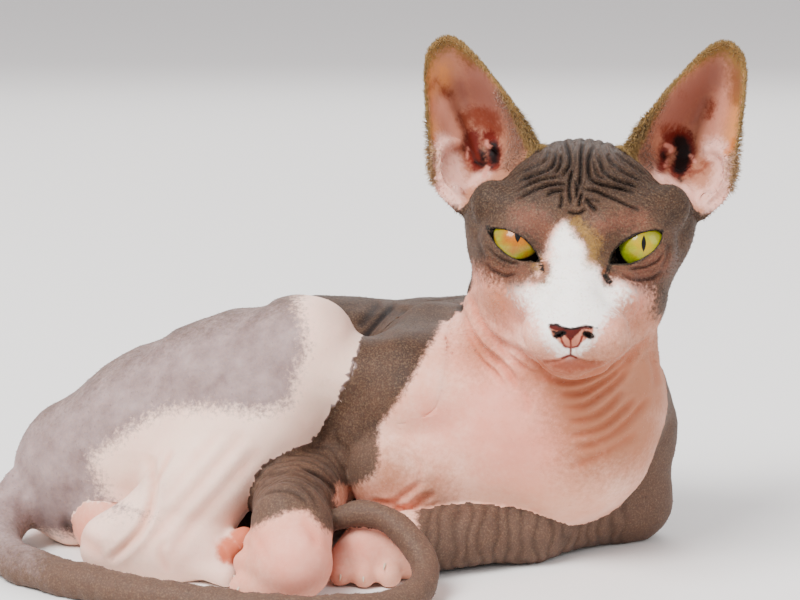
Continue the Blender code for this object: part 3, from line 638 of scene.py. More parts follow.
def make_ear(side):
    """One ear with its wall and the folds inside it. Returns the piece and its middle sheet."""
    sheet, around = ear_sheet(side)
    faces = []
    last = len(sheet) - 1
    for ring in range(EAR_RINGS - 1):
        for i in range(around):
            a, b = ring * around + i, ring * around + (i + 1) % around
            if ring < EAR_RINGS - 2:
                corners = (a, b, b + around, a + around)
            else:
                corners = (a, b, last)
            faces.append(corners if side < 0 else corners[::-1])
    ear = new_piece("ear", sheet, faces)
    shaped(ear, "SOLIDIFY", thickness=EAR_WALL * MM, offset=0, use_even_offset=False)
    build = bmesh.new()
    build.from_mesh(ear.data)

    def put_ball(place, radius, fineness):
        at = Matrix.Translation(Vector((mirrored(place, side) + SHIFT) * MM))
        bmesh.ops.create_icosphere(build, subdivisions=fineness, radius=radius * MM, matrix=at)

    local = in_head(small(sheet))
    for line, radius, proud in EAR_FOLDS:
        for spot in smooth_route(line, 4):
            across = np.hypot(local[:, 0] * side - spot[0], local[:, 2] - spot[1]) + 0.3
            closest = np.argsort(across)[:4]
            deep = np.average(local[closest, 1], weights=1 / across[closest])
            put_ball((spot[0], deep - proud, spot[1]), radius, 2)
    for place, radius in EAR_ROOT:
        put_ball(place, radius, 3)
    build.to_mesh(ear.data)
    build.free()
    return ear, sheet


# Folds and marks drawn on the photograph, in its pixels.

# Furrows of the brow: (points, half width in mm, depth in mm)
BROW_FURROWS = (
    (((564, 139), (569, 154), (569.5, 166), (562, 176)), 0.62, 0.95),
    (((573, 166), (570, 181), (569, 191), (571, 205)), 0.55, 0.9),
    (((561, 155), (560, 166), (554.5, 173.5)), 0.55, 0.8),
    (((556.5, 150), (554, 164.5), (547.5, 170), (533, 176), (518, 182)), 0.65, 0.95),
    (((549, 148), (547, 156), (543, 162), (532, 168), (520, 173)), 0.6, 0.7),
    (((561, 176.5), (546, 179), (532, 183), (518, 191)), 0.55, 0.75),
    (((568, 184), (551, 185.3), (538, 189), (517, 199)), 0.6, 0.85),
    (((564, 191), (554, 192), (546, 196)), 0.7, 0.8),
    (((561, 193), (562, 201), (560, 209)), 0.6, 0.7),
    (((585, 138), (581, 153), (581, 166), (580, 181), (577, 192)), 0.6, 0.95),
    (((576, 180), (577, 191), (576.5, 199)), 0.5, 0.8),
    (((596, 143), (589.5, 156), (588.4, 168), (590.5, 178), (597, 183.5), (612, 187), (636, 193)), 0.65, 1.0),
    (((599.5, 155), (601, 165), (606, 174), (618, 181), (640, 188)), 0.65, 0.95),
    (((608.5, 153), (610, 161), (622, 171), (640, 181)), 0.6, 0.85),
    (((594, 166), (598, 175), (605, 180)), 0.5, 0.6),
    (((616, 153), (630, 164), (646, 175)), 0.55, 0.7),
    (((583, 189), (595.5, 191.5), (605, 195.5), (618, 201), (640, 211)), 0.6, 0.85),
    (((586, 198), (591.5, 206), (597, 211)), 0.8, 0.9),
    (((582, 193), (580, 200), (579, 207)), 0.55, 0.85),
    (((567, 211.5), (577, 214), (586, 209.5)), 0.6, 0.7),
    (((590, 200), (601, 202)), 0.5, 0.4),
)

# Folds round the eyes, the cheeks and the mouth.
FACE_FOLDS = (
    (((486, 244), (489.2, 248.7), (495.3, 255.3), (503, 260.4), (510.6, 263.2), (518, 264.4)), 0.5, 0.6),
    (((486, 263), (490.2, 268.6), (495.3, 272.1), (503, 275.7), (509, 276), (517, 273)), 0.75, 0.75),
    (((628, 269.6), (638.4, 268.5), (646, 266.7), (653.7, 262.9), (659.3, 258.8), (664, 252)), 0.5, 0.6),
    (((622, 273), (630.7, 279.2), (638.4, 280.2), (646, 279.7), (653.7, 277.1), (662, 271)), 0.75, 0.75),
    (((669, 242), (667, 256), (661, 268)), 0.7, 0.4),
    (((477, 232), (480, 248), (486, 260)), 0.7, 0.4),
    (((535, 358.6), (546, 360.2), (554, 360.6), (562.2, 358.9), (570.2, 355.2), (576, 358.3),
      (584.6, 361), (594, 361.6), (605, 360.4)), 0.6, 0.75),
    (((570.8, 346), (570.8, 350), (570.6, 356)), 0.4, 0.7),
    (((605, 363.6), (613, 360), (625, 352.5), (641, 340)), 0.9, 0.6),
    (((526, 351), (533, 357), (540, 361)), 0.8, 0.5),
    (((549, 367.5), (553, 371), (562, 373.6), (571, 374), (582, 372.6), (590.3, 370.3), (598, 368)), 0.6, 0.5),
    (((630.5, 292), (632, 302), (632, 313)), 0.9, 0.4),
    (((641, 296), (640, 308), (635, 318)), 0.9, 0.4),
    (((493, 292), (503, 302), (506, 314)), 1.0, 0.35),
    (((559.5, 334.5), (562, 341), (564.5, 345.6), (569.5, 347.6)), 0.38, 0.5),
    (((582, 336), (580.8, 341), (577.7, 346), (572, 347.6)), 0.38, 0.5),
    (((570.6, 338), (570.8, 346)), 0.35, 0.5),
    (((530, 369.5), (547.2, 374.2), (558, 377)), 0.9, 0.7),
)

# Folds of the throat, neck and chest.
NECK_FOLDS = (
    (((466, 284), (477, 314), (498, 340), (529, 356), (548, 372), (566, 378)), 1.3, 1.5),
    (((470, 310), (482, 325), (498, 344), (513, 359), (531, 371)), 1.1, 1.0),
    (((459, 300), (470, 326), (484, 349), (502, 364), (513, 380), (517, 391)), 1.2, 1.3),
    (((461, 322), (480, 357), (496, 374), (503, 385)), 1.1, 0.7),
    (((526, 372), (551, 380), (574, 380.5), (598, 372), (622, 358), (652, 336)), 1.1, 1.1),
    (((557, 393), (581, 392.5), (605, 380), (623, 365.5), (640, 348)), 1.0, 1.1),
    (((563, 407), (583, 405.5), (602, 393), (618, 380), (631, 364)), 1.0, 0.95),
    (((567, 421.5), (589, 418), (609, 405.5), (622, 390)), 1.0, 0.85),
    (((570, 437), (596, 429.5), (614, 418), (636, 397)), 1.1, 0.85),
    (((574, 450), (606, 438), (630, 418.5), (649, 396)), 1.2, 0.8),
    (((571, 468), (606, 452), (638, 432)), 1.4, 0.6),
    (((520, 388), (528, 400), (526, 416)), 1.6, 0.45),
    (((648, 350), (655, 368), (656, 388)), 1.3, 0.5),
    (((412, 455), (422, 468), (418, 480)), 1.2, 0.45),
    (((436, 492), (421, 500), (408, 510.5), (391, 505)), 1.2, 0.9),
    (((424, 480), (408, 492), (392, 503), (372, 501)), 1.1, 0.7),
    (((408, 310), (386, 334), (362, 362)), 1.5, 0.9),
    (((417, 324), (396, 346), (371, 367)), 1.5, 0.9),
    (((396, 304), (378, 322), (360, 342)), 1.6, 0.8),
    (((380, 302), (369, 316), (358, 328)), 1.6, 0.6),
    (((428, 332), (410, 352), (386, 374)), 1.6, 0.6),
    (((430, 300), (441, 305), (452, 303)), 1.5, 0.5),
    (((368, 380), (352, 400), (336, 424)), 1.6, 0.6),
)

# Folds of the right hind leg and of the right fore leg.
HIND_FOLDS = (
    (((151, 455), (153.5, 480), (151, 504), (142, 528), (125, 547), (108, 562)), 1.5, 1.6),
    (((173, 449), (163, 468), (153.5, 490)), 1.1, 0.9),
    (((246, 430), (203, 480), (165, 523), (140, 560)), 2.0, 0.55),
    (((262, 446), (222, 492), (188, 530), (168, 562)), 2.0, 0.5),
    (((222, 428), (188, 468), (162, 505)), 2.0, 0.4),
    (((168, 540), (160, 552), (170, 572)), 1.4, 0.6),
    (((60, 520), (84, 540), (104, 556)), 2.4, 0.8),
    (((212, 540), (222, 552), (226, 566)), 1.0, 0.5),
)
FORE_FOLDS = (
    (((300, 468), (318, 476), (331, 486), (340, 500)), 1.0, 0.9),
    (((256, 480), (278, 473), (300, 476), (316, 488), (324, 504)), 0.8, 0.5),
    (((254, 490), (278, 482), (298, 485), (312, 497), (319, 512)), 0.8, 0.5),
    (((252, 500), (276, 491), (296, 494), (309, 506)), 0.8, 0.5),
    (((300, 520), (312, 532), (316, 548)), 1.6, 0.5),
    (((250, 530), (262, 545), (270, 560)), 1.4, 0.3),
)
# Soft ridges and hollows of the ears. A depth below nothing stands proud.
EAR_LINES = (
    (((442, 96), (452, 116), (464, 142)), 1.6, -0.8),
    (((424, 62), (431, 92), (436, 126)), 1.8, 0.35),
    (((489, 118), (496, 140), (494, 160)), 1.4, 0.3),
    (((716, 92), (704, 120), (697, 150)), 1.6, -0.8),
    (((737, 70), (730, 100), (722, 130)), 1.8, 0.35),
    (((655, 112), (652, 138), (656, 160)), 1.4, 0.3),
)

# Outlines of the coat's colours.
THIN_THIGH = (
    (-60, 470), (60, 400), (150, 342), (240, 312), (300, 304), (360, 290), (400, 420), (100, 600), (-60, 600),
)
WHITE_BLAZE = (
    (563, 222), (556.6, 229), (552, 238), (550.5, 246), (552.8, 256.5), (549, 268), (544, 277), (532, 284),
    (517, 290), (524, 301), (535, 315), (541, 334), (550, 347), (561, 355), (571, 357), (583, 350),
    (594, 340), (603, 324), (613, 308), (630, 292), (622, 284), (608, 284), (601, 276), (598.5, 266.5),
    (587.2, 260), (586.5, 251), (583.4, 243.5), (575.7, 236.6), (571, 227.4), (567.5, 221.5),
)
PALE_FACE = (
    (563, 221), (554, 229), (549, 240), (546, 252), (541, 262), (536, 276), (522, 284), (504, 283),
    (486, 277), (470, 264), (440, 262), (420, 330), (470, 420), (690, 420), (690, 330), (668, 322),
    (656, 314), (655, 300), (652, 290), (636, 285), (620, 280), (603, 277), (598.5, 266.5),
    (588, 260), (587, 251), (584, 243.5), (576, 236), (571.5, 227), (567.5, 221),
)
PALE_CHEST = (
    (465, 288), (457, 310), (444.5, 317), (436, 335), (422, 360), (411.5, 378), (399, 400.5),
    (381, 423), (377, 441), (381, 459), (373, 476), (355, 486), (338, 484), (334, 500), (344, 520),
    (380, 540), (430, 640), (760, 640), (760, 250), (500, 250),
)
PALE_LEG = (
    (291, 404), (255, 413), (226, 408.6), (189, 408.6), (160.5, 412), (132, 428.7), (113, 443), (94, 455),
    (92, 466), (101.5, 485), (113, 502), (132, 514), (150, 520), (141, 530), (123, 548), (104, 562),
    (70, 640), (300, 640), (320, 520), (390, 400), (370, 270), (318, 270), (296, 300), (304, 328),
    (306, 352), (296, 376),
)
PALE_PAW = (
    (236, 536), (250, 529), (267, 521), (287, 511), (306, 510.6), (319, 523), (327, 531), (350, 540),
    (352, 640), (200, 640), (210, 556),
)
NOSE_LEATHER = (
    (547.5, 325), (551, 323.4), (556, 323.6), (562, 326.4), (570.5, 328.2), (578, 326.8), (586, 324.8),
    (593.5, 327), (591, 329.6), (585, 329), (580, 331.2), (575.5, 336), (570.5, 341), (566, 337),
    (561, 331.8), (556, 330.8), (551, 329.4), (548.5, 327),
)
NOSE_PADS = (
    (549, 327), (551, 333), (553.5, 337), (557, 339.6), (560.5, 343.5), (565, 347.8), (570.5, 348.8),
    (577, 347.8), (581.5, 342.8), (586, 339.6), (591, 336.6), (594, 331), (593.5, 327), (585, 328),
    (570, 330), (556, 329),
)
NOSE_TOP = (
    (((549, 325), (556, 324.6), (563, 327.4), (570.5, 329), (578, 327.8), (586, 326), (592, 327.4)), 0.42),
    (((553, 331.5), (558, 334)), 0.5),
)
LIPS = (
    (543, 361), (554, 360.4), (562, 359), (570.5, 355.6), (577, 358.6), (586, 361.4), (604, 363),
    (598, 367.5), (588, 370.6), (571, 373.6), (555, 371), (548, 366),
)

# Dark lines on the face: (points, half width in mm)
DARK_LINES = NOSE_TOP + (
    (((532, 255), (537, 259), (541, 265), (542, 271)), 0.85),
    (((614, 258), (610.5, 264), (608, 270), (606, 277)), 0.85),
    (((605, 276), (608, 280), (610, 283)), 1.1),
    (((487.5, 227.5), (491, 230.5), (495, 238)), 0.95),
    (((661.5, 231.5), (658.5, 233), (657, 240)), 0.95),
    (((594.5, 327.5), (598, 328.5)), 0.16),
    (((505, 232.5), (520, 236), (530, 244)), 0.35),
    (((618, 244), (634, 234.5), (652, 231)), 0.35),
)
TEAR_STAINS = (
    (((545, 264), (547, 271), (542, 278), (534, 281)), 1.6),
    (((606, 272), (604, 281), (610, 284)), 1.2),
    (((556, 333), (558, 334)), 0.9),
)
GOLD_PATCHES = (
    (((576, 225), (584, 231), (592, 241), (593, 252), (591, 261)), 2.1),
    (((541, 266), (546, 275), (541, 281)), 1.3),
)
RED_LINES = (
    (((570.8, 338), (570.8, 346), (570.6, 355.5)), 0.32),
    (((562, 358.3), (570.2, 355.6), (577, 358)), 0.4),
    (((559, 333.5), (562, 341), (564.5, 345.6), (569.5, 347.4)), 0.36),
    (((582, 336.5), (580.8, 341), (577.7, 346), (572, 347.4)), 0.36),
)


def near_lines(spots, lines):
    """Millimetres inside the nearest of several thick lines, negative outside."""
    best = np.full(len(spots), -FAR)
    for points, half in lines:
        gap, _ = along_line(spots, smooth_route(points, 3))
        best = np.maximum(best, half - gap / PX)
    return best


# The lip beside a fold, as a share of the fold's depth, and the depth at which a fold's painted shade is
# darkest, in mm.
LIP_SHARE = 0.42
DEEP_FOLD = 0.9
# A wobble is this many waves, and their sum is brought back to about 1.
WAVES = 7
WAVE_SUM = 3.2


def folds(spots, lines, facing, height, crease):
    """Adds the folds drawn by these lines to the skin's height and to its creases, the painted shade laid in
    their valleys.
    """
    for points, half, deep in lines:
        route = np.array(smooth_route(points, 4))
        margin = half * 4 * PX
        close = np.all((spots > route.min(0) - margin) & (spots < route.max(0) + margin), axis=1)
        close &= facing > 0
        if not close.any():
            continue
        gap, share = along_line(spots[close], route)
        gap = gap / PX
        fade = np.clip(np.minimum(share, 1 - share) * 6, 0, 1) ** 0.6 * facing[close]
        dip = np.exp(-((gap / half) ** 2))
        lip = np.exp(-(((gap - 2.0 * half) / half) ** 2))
        height[close] += (-deep * dip + LIP_SHARE * deep * lip) * fade
        # How dark the painted shade in the fold's valley is.
        dark = dip * fade * min(1.0, abs(deep) / DEEP_FOLD) * (deep > 0)
        crease[close] = np.maximum(crease[close], dark)


def wobble(points, size, seed):
    """A smooth pattern between about -1 and 1 whose features are of this size."""
    draw = np.random.default_rng(seed)
    total = np.zeros(len(points))
    for _ in range(WAVES):
        way = draw.normal(size=3)
        way *= 2 * math.pi / (size * np.linalg.norm(way)) * draw.uniform(0.6, 1.5)
        total += np.sin(points @ way + draw.uniform(0, 2 * math.pi))
    return total / WAVE_SUM


def furrow(phase, sharp):
    """Narrow valleys once a turn, from 0 on the ridge to 1 in the valley."""
    return ((1 + np.cos(phase)) / 2) ** sharp


def wrinkles(points, normals, labels):
    """Height of the wrinkled skin above the plain one, and how deep in a crease each point lies, which the
    skin's finish paints as shade.
    """
    spots = in_photo(points)
    local = in_head(points)
    x, y, z = local.T
    height = np.zeros(len(points))
    crease = np.zeros(len(points))
    sight = np.array((0, -math.cos(CAMERA_TILT), math.sin(CAMERA_TILT)))
    facing = ramp(normals @ sight, 0.05, 0.35)
    trunk = labels["trunk"]
    skull = trunk * ramp(z, -8, 2)
    for lines, strength in (
        (FACE_FOLDS, facing * trunk * ramp(-y, -6, 4)),
        (NECK_FOLDS, facing * trunk * 1.25),
        (HIND_FOLDS, facing * labels["hind_right"]),
        (FORE_FOLDS, facing * labels["fore_right"]),
        (EAR_LINES, facing * labels["ear"]),
        (BROW_FURROWS, ramp(normals @ sight, -0.1, 0.2) * skull * 1.2),
    ):
        folds(spots, lines, strength, height, crease)

    def sink(run, step, sharp, zone, deep, dark):
        """Presses a row of valleys into the skin, one at every step of the run, and darkens them with painted
        shade.
        """
        valleys = furrow(2 * math.pi * run / step, sharp) * zone
        height[:] -= deep * valleys
        crease[:] = np.maximum(crease, dark * valleys)

    # Finer furrows fan out over the brows and run back over the crown between the ears.
    rise = z - 13 + 0.12 * np.abs(x) + np.clip(y - 6, 0, 40) * 0.7
    fan = x * np.clip(rise, 0, 60) + 6 * wobble(points, 14, 3)
    zone = skull * ramp(rise, 3, 9) * ramp(-np.abs(x), -38, -24) * ramp(-y, -46, -10)
    sink(fan, 34, 1.6, zone, 0.22, 0.4)
    back = skull * ramp(y, -2, 14) * ramp(-y, -46, -26) * ramp(-np.abs(x), -26, -14)
    sink(x + 1.2 * wobble(points, 16, 5), 3.9, 2.0, back, 0.6, 0.8)
    # Rings round the back and sides of the neck.
    right, deep, up = points.T
    nape = labels["neck"] * ramp(y, 4, 22) * ramp(up, 82, 96)
    sink(up + 0.45 * deep + 2.2 * wobble(points, 26, 7), 7.2, 2.2, nape, 0.8, 0.7)
    # Upright folds behind both shoulders and along the flank.
    along = right * 0.93 - deep * 0.38 + 3.0 * wobble(points, 34, 11)
    flank = trunk * (1 - labels["neck"]) * ramp(deep, 46, 66) * ramp(up, 16, 34)
    flank *= ramp(-np.abs(right + 5), -62, -30)
    sink(along, 8.5, 1.8, flank * ramp(wobble(points, 40, 13), -0.6, 0.4), 0.7, 0.55)
    # Rings of the wrists, elbows and tail.
    for name, run, low, high, step in (
        ("fore_right", deep, -30, 34, 4.6),
        ("fore_left", right, 8, 82, 5.0),
    ):
        band = labels[name] * ramp(run, low - 6, low + 4) * ramp(-run, -high - 8, -high) * ramp(-up, -58, -44)
        sink(run + 1.6 * wobble(points, 15, 17), step, 2.0, band, 0.32, 0.4)
    sink(right + 0.8 * wobble(points, 9, 19), 3.3, 1.6, labels["tail"], 0.14, 0)
    # Slack skin everywhere else is softly uneven.
    loose = (1 - skull) * (1 - labels["ear"])
    height += 0.35 * loose * wobble(points, 24, 23) + 0.1 * loose * wobble(points, 7, 29)
    return height, crease


# How widely one part of the body gives way to the next, and the ear to the head, in mm.
FAMILY_EDGE = 1.2
EAR_EDGE = 1.0
# A little over half the ear's wall, so that both of its sides count as ear.
EAR_SKIN = EAR_WALL * 0.62


def label(points, ear_gap, hollow):
    """How far each point belongs to the trunk, neck, ears and limbs, from 0 to 1."""
    distances = {"trunk": TRUNK.distance(points)}
    for name, limb in LIMBS.items():
        distances[name] = limb.distance(points)
    nearest = np.min(list(distances.values()), axis=0)
    labels = {name: 1 - ramp(d - nearest, 0, FAMILY_EDGE) for name, d in distances.items()}
    ear = np.maximum(1 - ramp(ear_gap, EAR_SKIN, EAR_SKIN + EAR_EDGE), hollow)
    for name in labels:
        labels[name] = labels[name] * (1 - ear)
    labels["ear"] = ear
    skull = SKULL.distance(points)
    neck = np.min([limb.distance(points) for limb in chain(*NECK_RUN)], axis=0)
    labels["neck"] = labels["trunk"] * ramp(skull - neck, -1, 4) * ramp(points[:, 2], 62, 80)
    return labels


class Sheet:
    """The middle sheets of both ears, to measure the skin near them."""

    def __init__(self, sheets):
        self.points = small(np.concatenate([points for points, _ in sheets]))
        self.ways = small(np.concatenate([ways for _, ways in sheets]))
        self.depth = small(np.concatenate([np.arange(len(points)) / len(points) for points, _ in sheets]))
        self.tree = KDTree(len(self.points))
        for i, place in enumerate(self.points):
            self.tree.insert(place, i)
        self.tree.balance()

    def measure(self, points):
        """Distance to the sheet, the share of the way in from its rim, and height on its hollow side."""
        gap = np.full(len(points), FAR, np.float32)
        depth = np.zeros(len(points), np.float32)
        above = np.zeros(len(points), np.float32)
        close = inside(points, self.points.min(0) - 8, self.points.max(0) + 8)
        for i in close:
            _, nearest, gap[i] = self.tree.find(points[i])
            depth[i] = self.depth[nearest]
            above[i] = (points[i] - self.points[nearest]) @ self.ways[nearest]
        return gap, depth, above

    def lean(self, points, above):
        """How far each point stands off the sheet, as a vector."""
        lean = np.zeros_like(points)
        for i in np.nonzero(np.abs(above) < 1.5)[0]:
            if above[i]:
                _, nearest, _ = self.tree.find(points[i])
                lean[i] = self.ways[nearest] * above[i]
        return lean

    def hollow(self, gap, depth, above):
        """Which points lie on the wall of the ear's bowl or on a fold inside it."""
        return (above > 0) & (depth > 0.03) & (gap < 7.5)


def dense(sheet, around, side):
    """A sheet's points with more between its rings and around them, and the way its hollow faces."""
    rings = sheet[:-1].reshape(-1, around, 3)
    rings = np.concatenate((rings, np.repeat(sheet[-1][None, None], around, axis=1)), axis=0)
    between = (rings[1:] + rings[:-1]) / 2
    rows = np.empty((len(rings) + len(between), around, 3))
    rows[0::2], rows[1::2] = rings, between
    sides = (rows + np.roll(rows, -1, axis=1)) / 2
    full = np.stack((rows, sides), axis=2).reshape(len(rows), -1, 3)
    ways = np.cross(np.roll(full, -1, axis=1) - np.roll(full, 1, axis=1), np.gradient(full, axis=0)) * side
    ways /= np.linalg.norm(ways, axis=2, keepdims=True) + 1e-9
    return full.reshape(-1, 3), ways.reshape(-1, 3)


FLESH = [name for name in frame["nodes"] if not name.startswith("ear")]
# The grain in which the flesh is made one skin, how far it swells first, both in mm, and how fine it ends.
VOXEL = 0.9
SWELL = 0.26
SKIN_TRIANGLES = 192000


def select_in_edit(piece, part, chosen):
    """Opens a piece for editing with only the chosen faces or points selected."""
    only(piece)
    bpy.ops.object.mode_set(mode="EDIT")
    bpy.ops.mesh.select_all(action="DESELECT")
    bpy.ops.mesh.select_mode(type=part)
    bpy.ops.object.mode_set(mode="OBJECT")
    items = piece.data.polygons if part == "FACE" else piece.data.vertices
    items.foreach_set("select", chosen)
    bpy.ops.object.mode_set(mode="EDIT")


def subdivide_where(piece, chosen):
    """Splits the faces whose corners are all chosen into four."""
    corners = read(piece.data.loops, "vertex_index", 1, np.int32)
    starts = read(piece.data.polygons, "loop_start", 1, np.int32)
    select_in_edit(piece, "FACE", np.minimum.reduceat(chosen[corners], starts))
    bpy.ops.mesh.subdivide(number_cuts=1)
    bpy.ops.mesh.select_mode(type="VERT")
    bpy.ops.object.mode_set(mode="OBJECT")


def keep_largest(piece):
    """Drops the closed scraps that the remesh leaves inside the skin."""
    one, other = edges_of(piece).T
    root = np.arange(len(piece.data.vertices))
    while True:
        low = np.minimum(root[one], root[other])
        before = root.copy()
        np.minimum.at(root, one, low)
        np.minimum.at(root, other, low)
        root = root[root]
        if np.array_equal(root, before):
            break
    names, counts = np.unique(root, return_counts=True)
    scraps = root != names[np.argmax(counts)]
    if scraps.any():
        select_in_edit(piece, "VERT", scraps)
        bpy.ops.mesh.delete(type="VERT")
        bpy.ops.object.mode_set(mode="OBJECT")


def joined_flesh():
    """A copy of all the solids but the ears, slightly swollen, as one piece."""
    only(*[frame["nodes"][name] for name in FLESH])
    bpy.ops.object.duplicate()
    bpy.ops.object.join()
    skin = bpy.context.object
    bpy.ops.object.parent_clear(type="CLEAR_KEEP_TRANSFORM")
    for key in list(skin.keys()):
        del skin[key]
    skin.name = "skin"
    bpy.ops.object.mode_set(mode="EDIT")
    bpy.ops.mesh.select_all(action="SELECT")
    bpy.ops.mesh.remove_doubles(threshold=0.00001)
    bpy.ops.object.mode_set(mode="OBJECT")
    put_points(skin, points_of(skin) + normals_of(skin) * SWELL)
    return skin


def smooth_skin(skin, sheet):
    """Draws the grainy skin onto the flesh and eases it round the ears."""
    points, edges = points_of(skin), edges_of(skin)
    gap, depth, above = sheet.measure(points)
    free = ramp(gap, 1.5, 3.0) * ~sheet.hollow(gap, depth, above)
    points = pressed(points, normals_of(skin), free, 2)
    points = eased(points, edges, 0.5 * free + 0.18, 3)
    put_points(skin, points)
    points = pressed(points, normals_of(skin), free, 2)
    root = ramp(-gap, -7, -2) * ramp(gap, 0.8, 1.8) * (depth < 0.06)
    points = eased(points, edges, 0.6 * root, 12)
    lip = ramp(-depth, -0.2, -0.02) * (gap < 1.3)
    points -= sheet.lean(points, above) * (0.4 * lip)[:, None]
    put_points(skin, points)


def refine_face(skin, sheet, finest):
    """Splits the faces of the head, or only of its finest parts, and draws them onto the flesh."""
    points = points_of(skin)
    x, y, z = in_head(points).T
    if finest:
        eyes = np.minimum(np.abs(lens(points, -1)), np.abs(lens(points, 1))) < 1.8
        muzzle = (np.abs(x) < 12) & (z < -25) & (z > -41) & (y < -26)
        brow = (np.abs(x) < 21) & (z > 11) & (z < 44) & (y < 16)
        chosen = (eyes | muzzle | brow) & (y < 16)
    else:
        chosen = (np.abs(x) < 66) & (z > -46) & (y < 26)
    subdivide_where(skin, chosen)
    points, edges = points_of(skin), edges_of(skin)
    gap, depth, above = sheet.measure(points)
    points = eased(points, edges, np.full(len(points), 0.3, np.float32), 1)
    x, y, z = in_head(points).T
    face = np.nonzero((np.abs(x) < 40) & (z > -46) & (z < 46) & (y < 14) & (gap > 1.5))[0]
    points[face] = drawn_to_skin(points[face], ramp(gap[face], 1.5, 3.0), 1)
    put_points(skin, points)
    return points, gap, sheet.hollow(gap, depth, above)


def make_skin():
    """One closed skin over all the flesh, drawn smooth, wrinkled and thinned."""
    skin = joined_flesh()
    sheets = []
    for side in (-1, 1):
        ear, sheet = make_ear(side)
        sheets.append(dense(sheet, (len(sheet) - 1) // (EAR_RINGS - 1), side))
        only(skin, ear)
        bpy.ops.object.join()
    shaped(skin, "REMESH", mode="VOXEL", voxel_size=VOXEL * MM)
    keep_largest(skin)
    sheet = Sheet(sheets)
    smooth_skin(skin, sheet)
    refine_face(skin, sheet, False)
    points, gap, hollow = refine_face(skin, sheet, True)
    height, _ = wrinkles(points, normals_of(skin), label(points, gap, hollow))
    points = points + normals_of(skin) * height[:, None]
    points[:, 2] = np.maximum(points[:, 2], 0)
    put_points(skin, points)
    faces = sum(len(p.vertices) - 2 for p in skin.data.polygons)
    if faces > SKIN_TRIANGLES:
        shaped(skin, "DECIMATE", ratio=SKIN_TRIANGLES / faces, use_collapse_triangulate=True)
    skin.data.shade_smooth()
    return skin, sheet


# Colours of the coat. Each mark is how far inside it a point of the skin lies, in mm, but a crease,
# which is painted shade, is a share from 0 to 1.


# How far inside a mark a point is, in mm, where the mark has no place on that part of the cat.
ABSENT = -30
OFF_BODY = -20


def own_parts(labels):
    """Where each limb keeps its own colours, up to the line where it meets the next part."""
    own = {name: labels[name] > 0.97 for name in LIMBS}
    # The dark skin of the flank and arm laps a little over the edge of the thigh, a narrow dark band that
    # serves as painted shade where the thigh meets them.
    own["hind_right"] &= np.maximum(labels["trunk"], labels["fore_right"]) < 0.02
    return own


def pale_depth(points, spots, labels, own, skull, hollow):
    """How far inside the pale skin each point is. Everything else is pigmented."""
    right, deep, up = points.T
    x, y, z = in_head(points).T
    cheek = ramp(np.abs(x), 15, 21)
    jaw_back = 12 - y + 30 * ramp(-z, 14, 28)
    face = (np.minimum(within(spots, PALE_FACE), jaw_back) - 0.9 * cheek) * (0.85 - 0.4 * cheek)
    chest_front = within(spots, PALE_CHEST)
    chest_back = 36 + 0.1 * (right - 60) - deep + 6 * wobble(points, 40, 31)
    chest = np.minimum(chest_front, np.where(right < 40, 26 + chest_back, chest_back))
    body = np.maximum(chest, 8 - up + 2 * wobble(points, 20, 47))
    pale = np.where(skull > 0.5, face, body)
    leg = np.maximum(within(spots, PALE_LEG), 6 - up)
    paw = np.minimum(within(spots, PALE_PAW), 12 - deep)
    for name, values in (
        ("hind_right", 0.4 * np.maximum(leg, np.minimum(26 - up, 12 - deep))),
        ("fore_right", np.maximum(paw, np.minimum(chest_front, chest_back))),
        ("fore_left", 6 - right),
        ("hind_left", 22 - up - 0.3 * (right + 100)),
        ("tail", OFF_BODY),
    ):
        pale = np.where(own[name], values, pale)
    opening = np.max([within(spots, outline) for outline in EAR_OPENINGS], axis=0)
    return np.where(labels["ear"] > 0.5, np.where(hollow, np.clip(opening, -8, 8), -8), pale)


def coat_marks(points, spots, labels, own, hollow):
    """Marks of the pigment: where it is, and where it is deepest, rosiest, worn and thinnest."""
    right, deep, up = points.T
    x, y, z = in_head(points).T
    trunk = labels["trunk"] > 0.5
    skull = ramp(z + 0.2 * y, -40, -30) * ramp(-y, -60, -38)
    pale = pale_depth(points, spots, labels, own, skull, hollow)
    skull = skull * trunk
    umber = z - 18 + 0.5 * np.clip(np.abs(x) - 20, 0, 20) + np.clip(y, 0, 60) * 0.3
    ridge = np.maximum(np.minimum(0.3 * (up - 80), 0.5 * (14 - right)), 0.25 * (deep - 66))
    ridge = np.where(trunk | (labels["fore_right"] > 0.5), ridge, OFF_BODY)
    worn = 3 + 5 * wobble(points, 45, 41) - 0.2 * (up - 55) - 3.5 * labels["fore_right"]
    thin = np.where(own["hind_right"], within(spots, THIN_THIGH), OFF_BODY)
    return {
        "mole": -pale,
        "umber": np.clip(umber, -12, 12) * skull + np.clip(ridge, -12, 12) * (1 - skull),
        "rosy": np.where(trunk & (y < 10), near_lines(spots, ROSY_LINES), ABSENT),
        "worn": worn - 16 * skull,
        "thin": np.where(own["tail"], np.minimum(-132 - right, up - 12), thin),
    }


def face_marks(points, spots, trunk):
    """Marks of the front of the head: its blaze, dark lines, stains, nose and mouth, and painted shade in the
    nostrils.
    """
    x, y, _ = in_head(points).T
    blaze = within(spots, WHITE_BLAZE) * (1 - 0.5 * ramp(np.abs(x), 9, 15))
    lids = 0.5 - np.minimum(lens(points, -1), lens(points, 1))
    kohl = np.maximum(near_lines(spots, DARK_LINES), lids)
    marks = {
        "white": np.where(trunk & (y < 0), blaze, ABSENT),
        "kohl": np.where(trunk & (y < 4), kohl, ABSENT),
    }
    # Painted shade: the insides of the nostrils are near-black.
    for nostril in NOSTRILS:
        marks["kohl"] = np.maximum(marks["kohl"], 0.35 - nostril.distance(points))
    for name, front_of, measure, drawing in (
        ("stain", 4, near_lines, TEAR_STAINS),
        ("gold", 4, near_lines, GOLD_PATCHES),
        ("leather", -30, within, NOSE_LEATHER),
        ("pads", -30, within, NOSE_PADS),
        ("lips", -20, within, LIPS),
        ("red", -20, near_lines, RED_LINES),
    ):
        marks[name] = np.where(trunk & (y < front_of), measure(spots, drawing), ABSENT)
    return marks


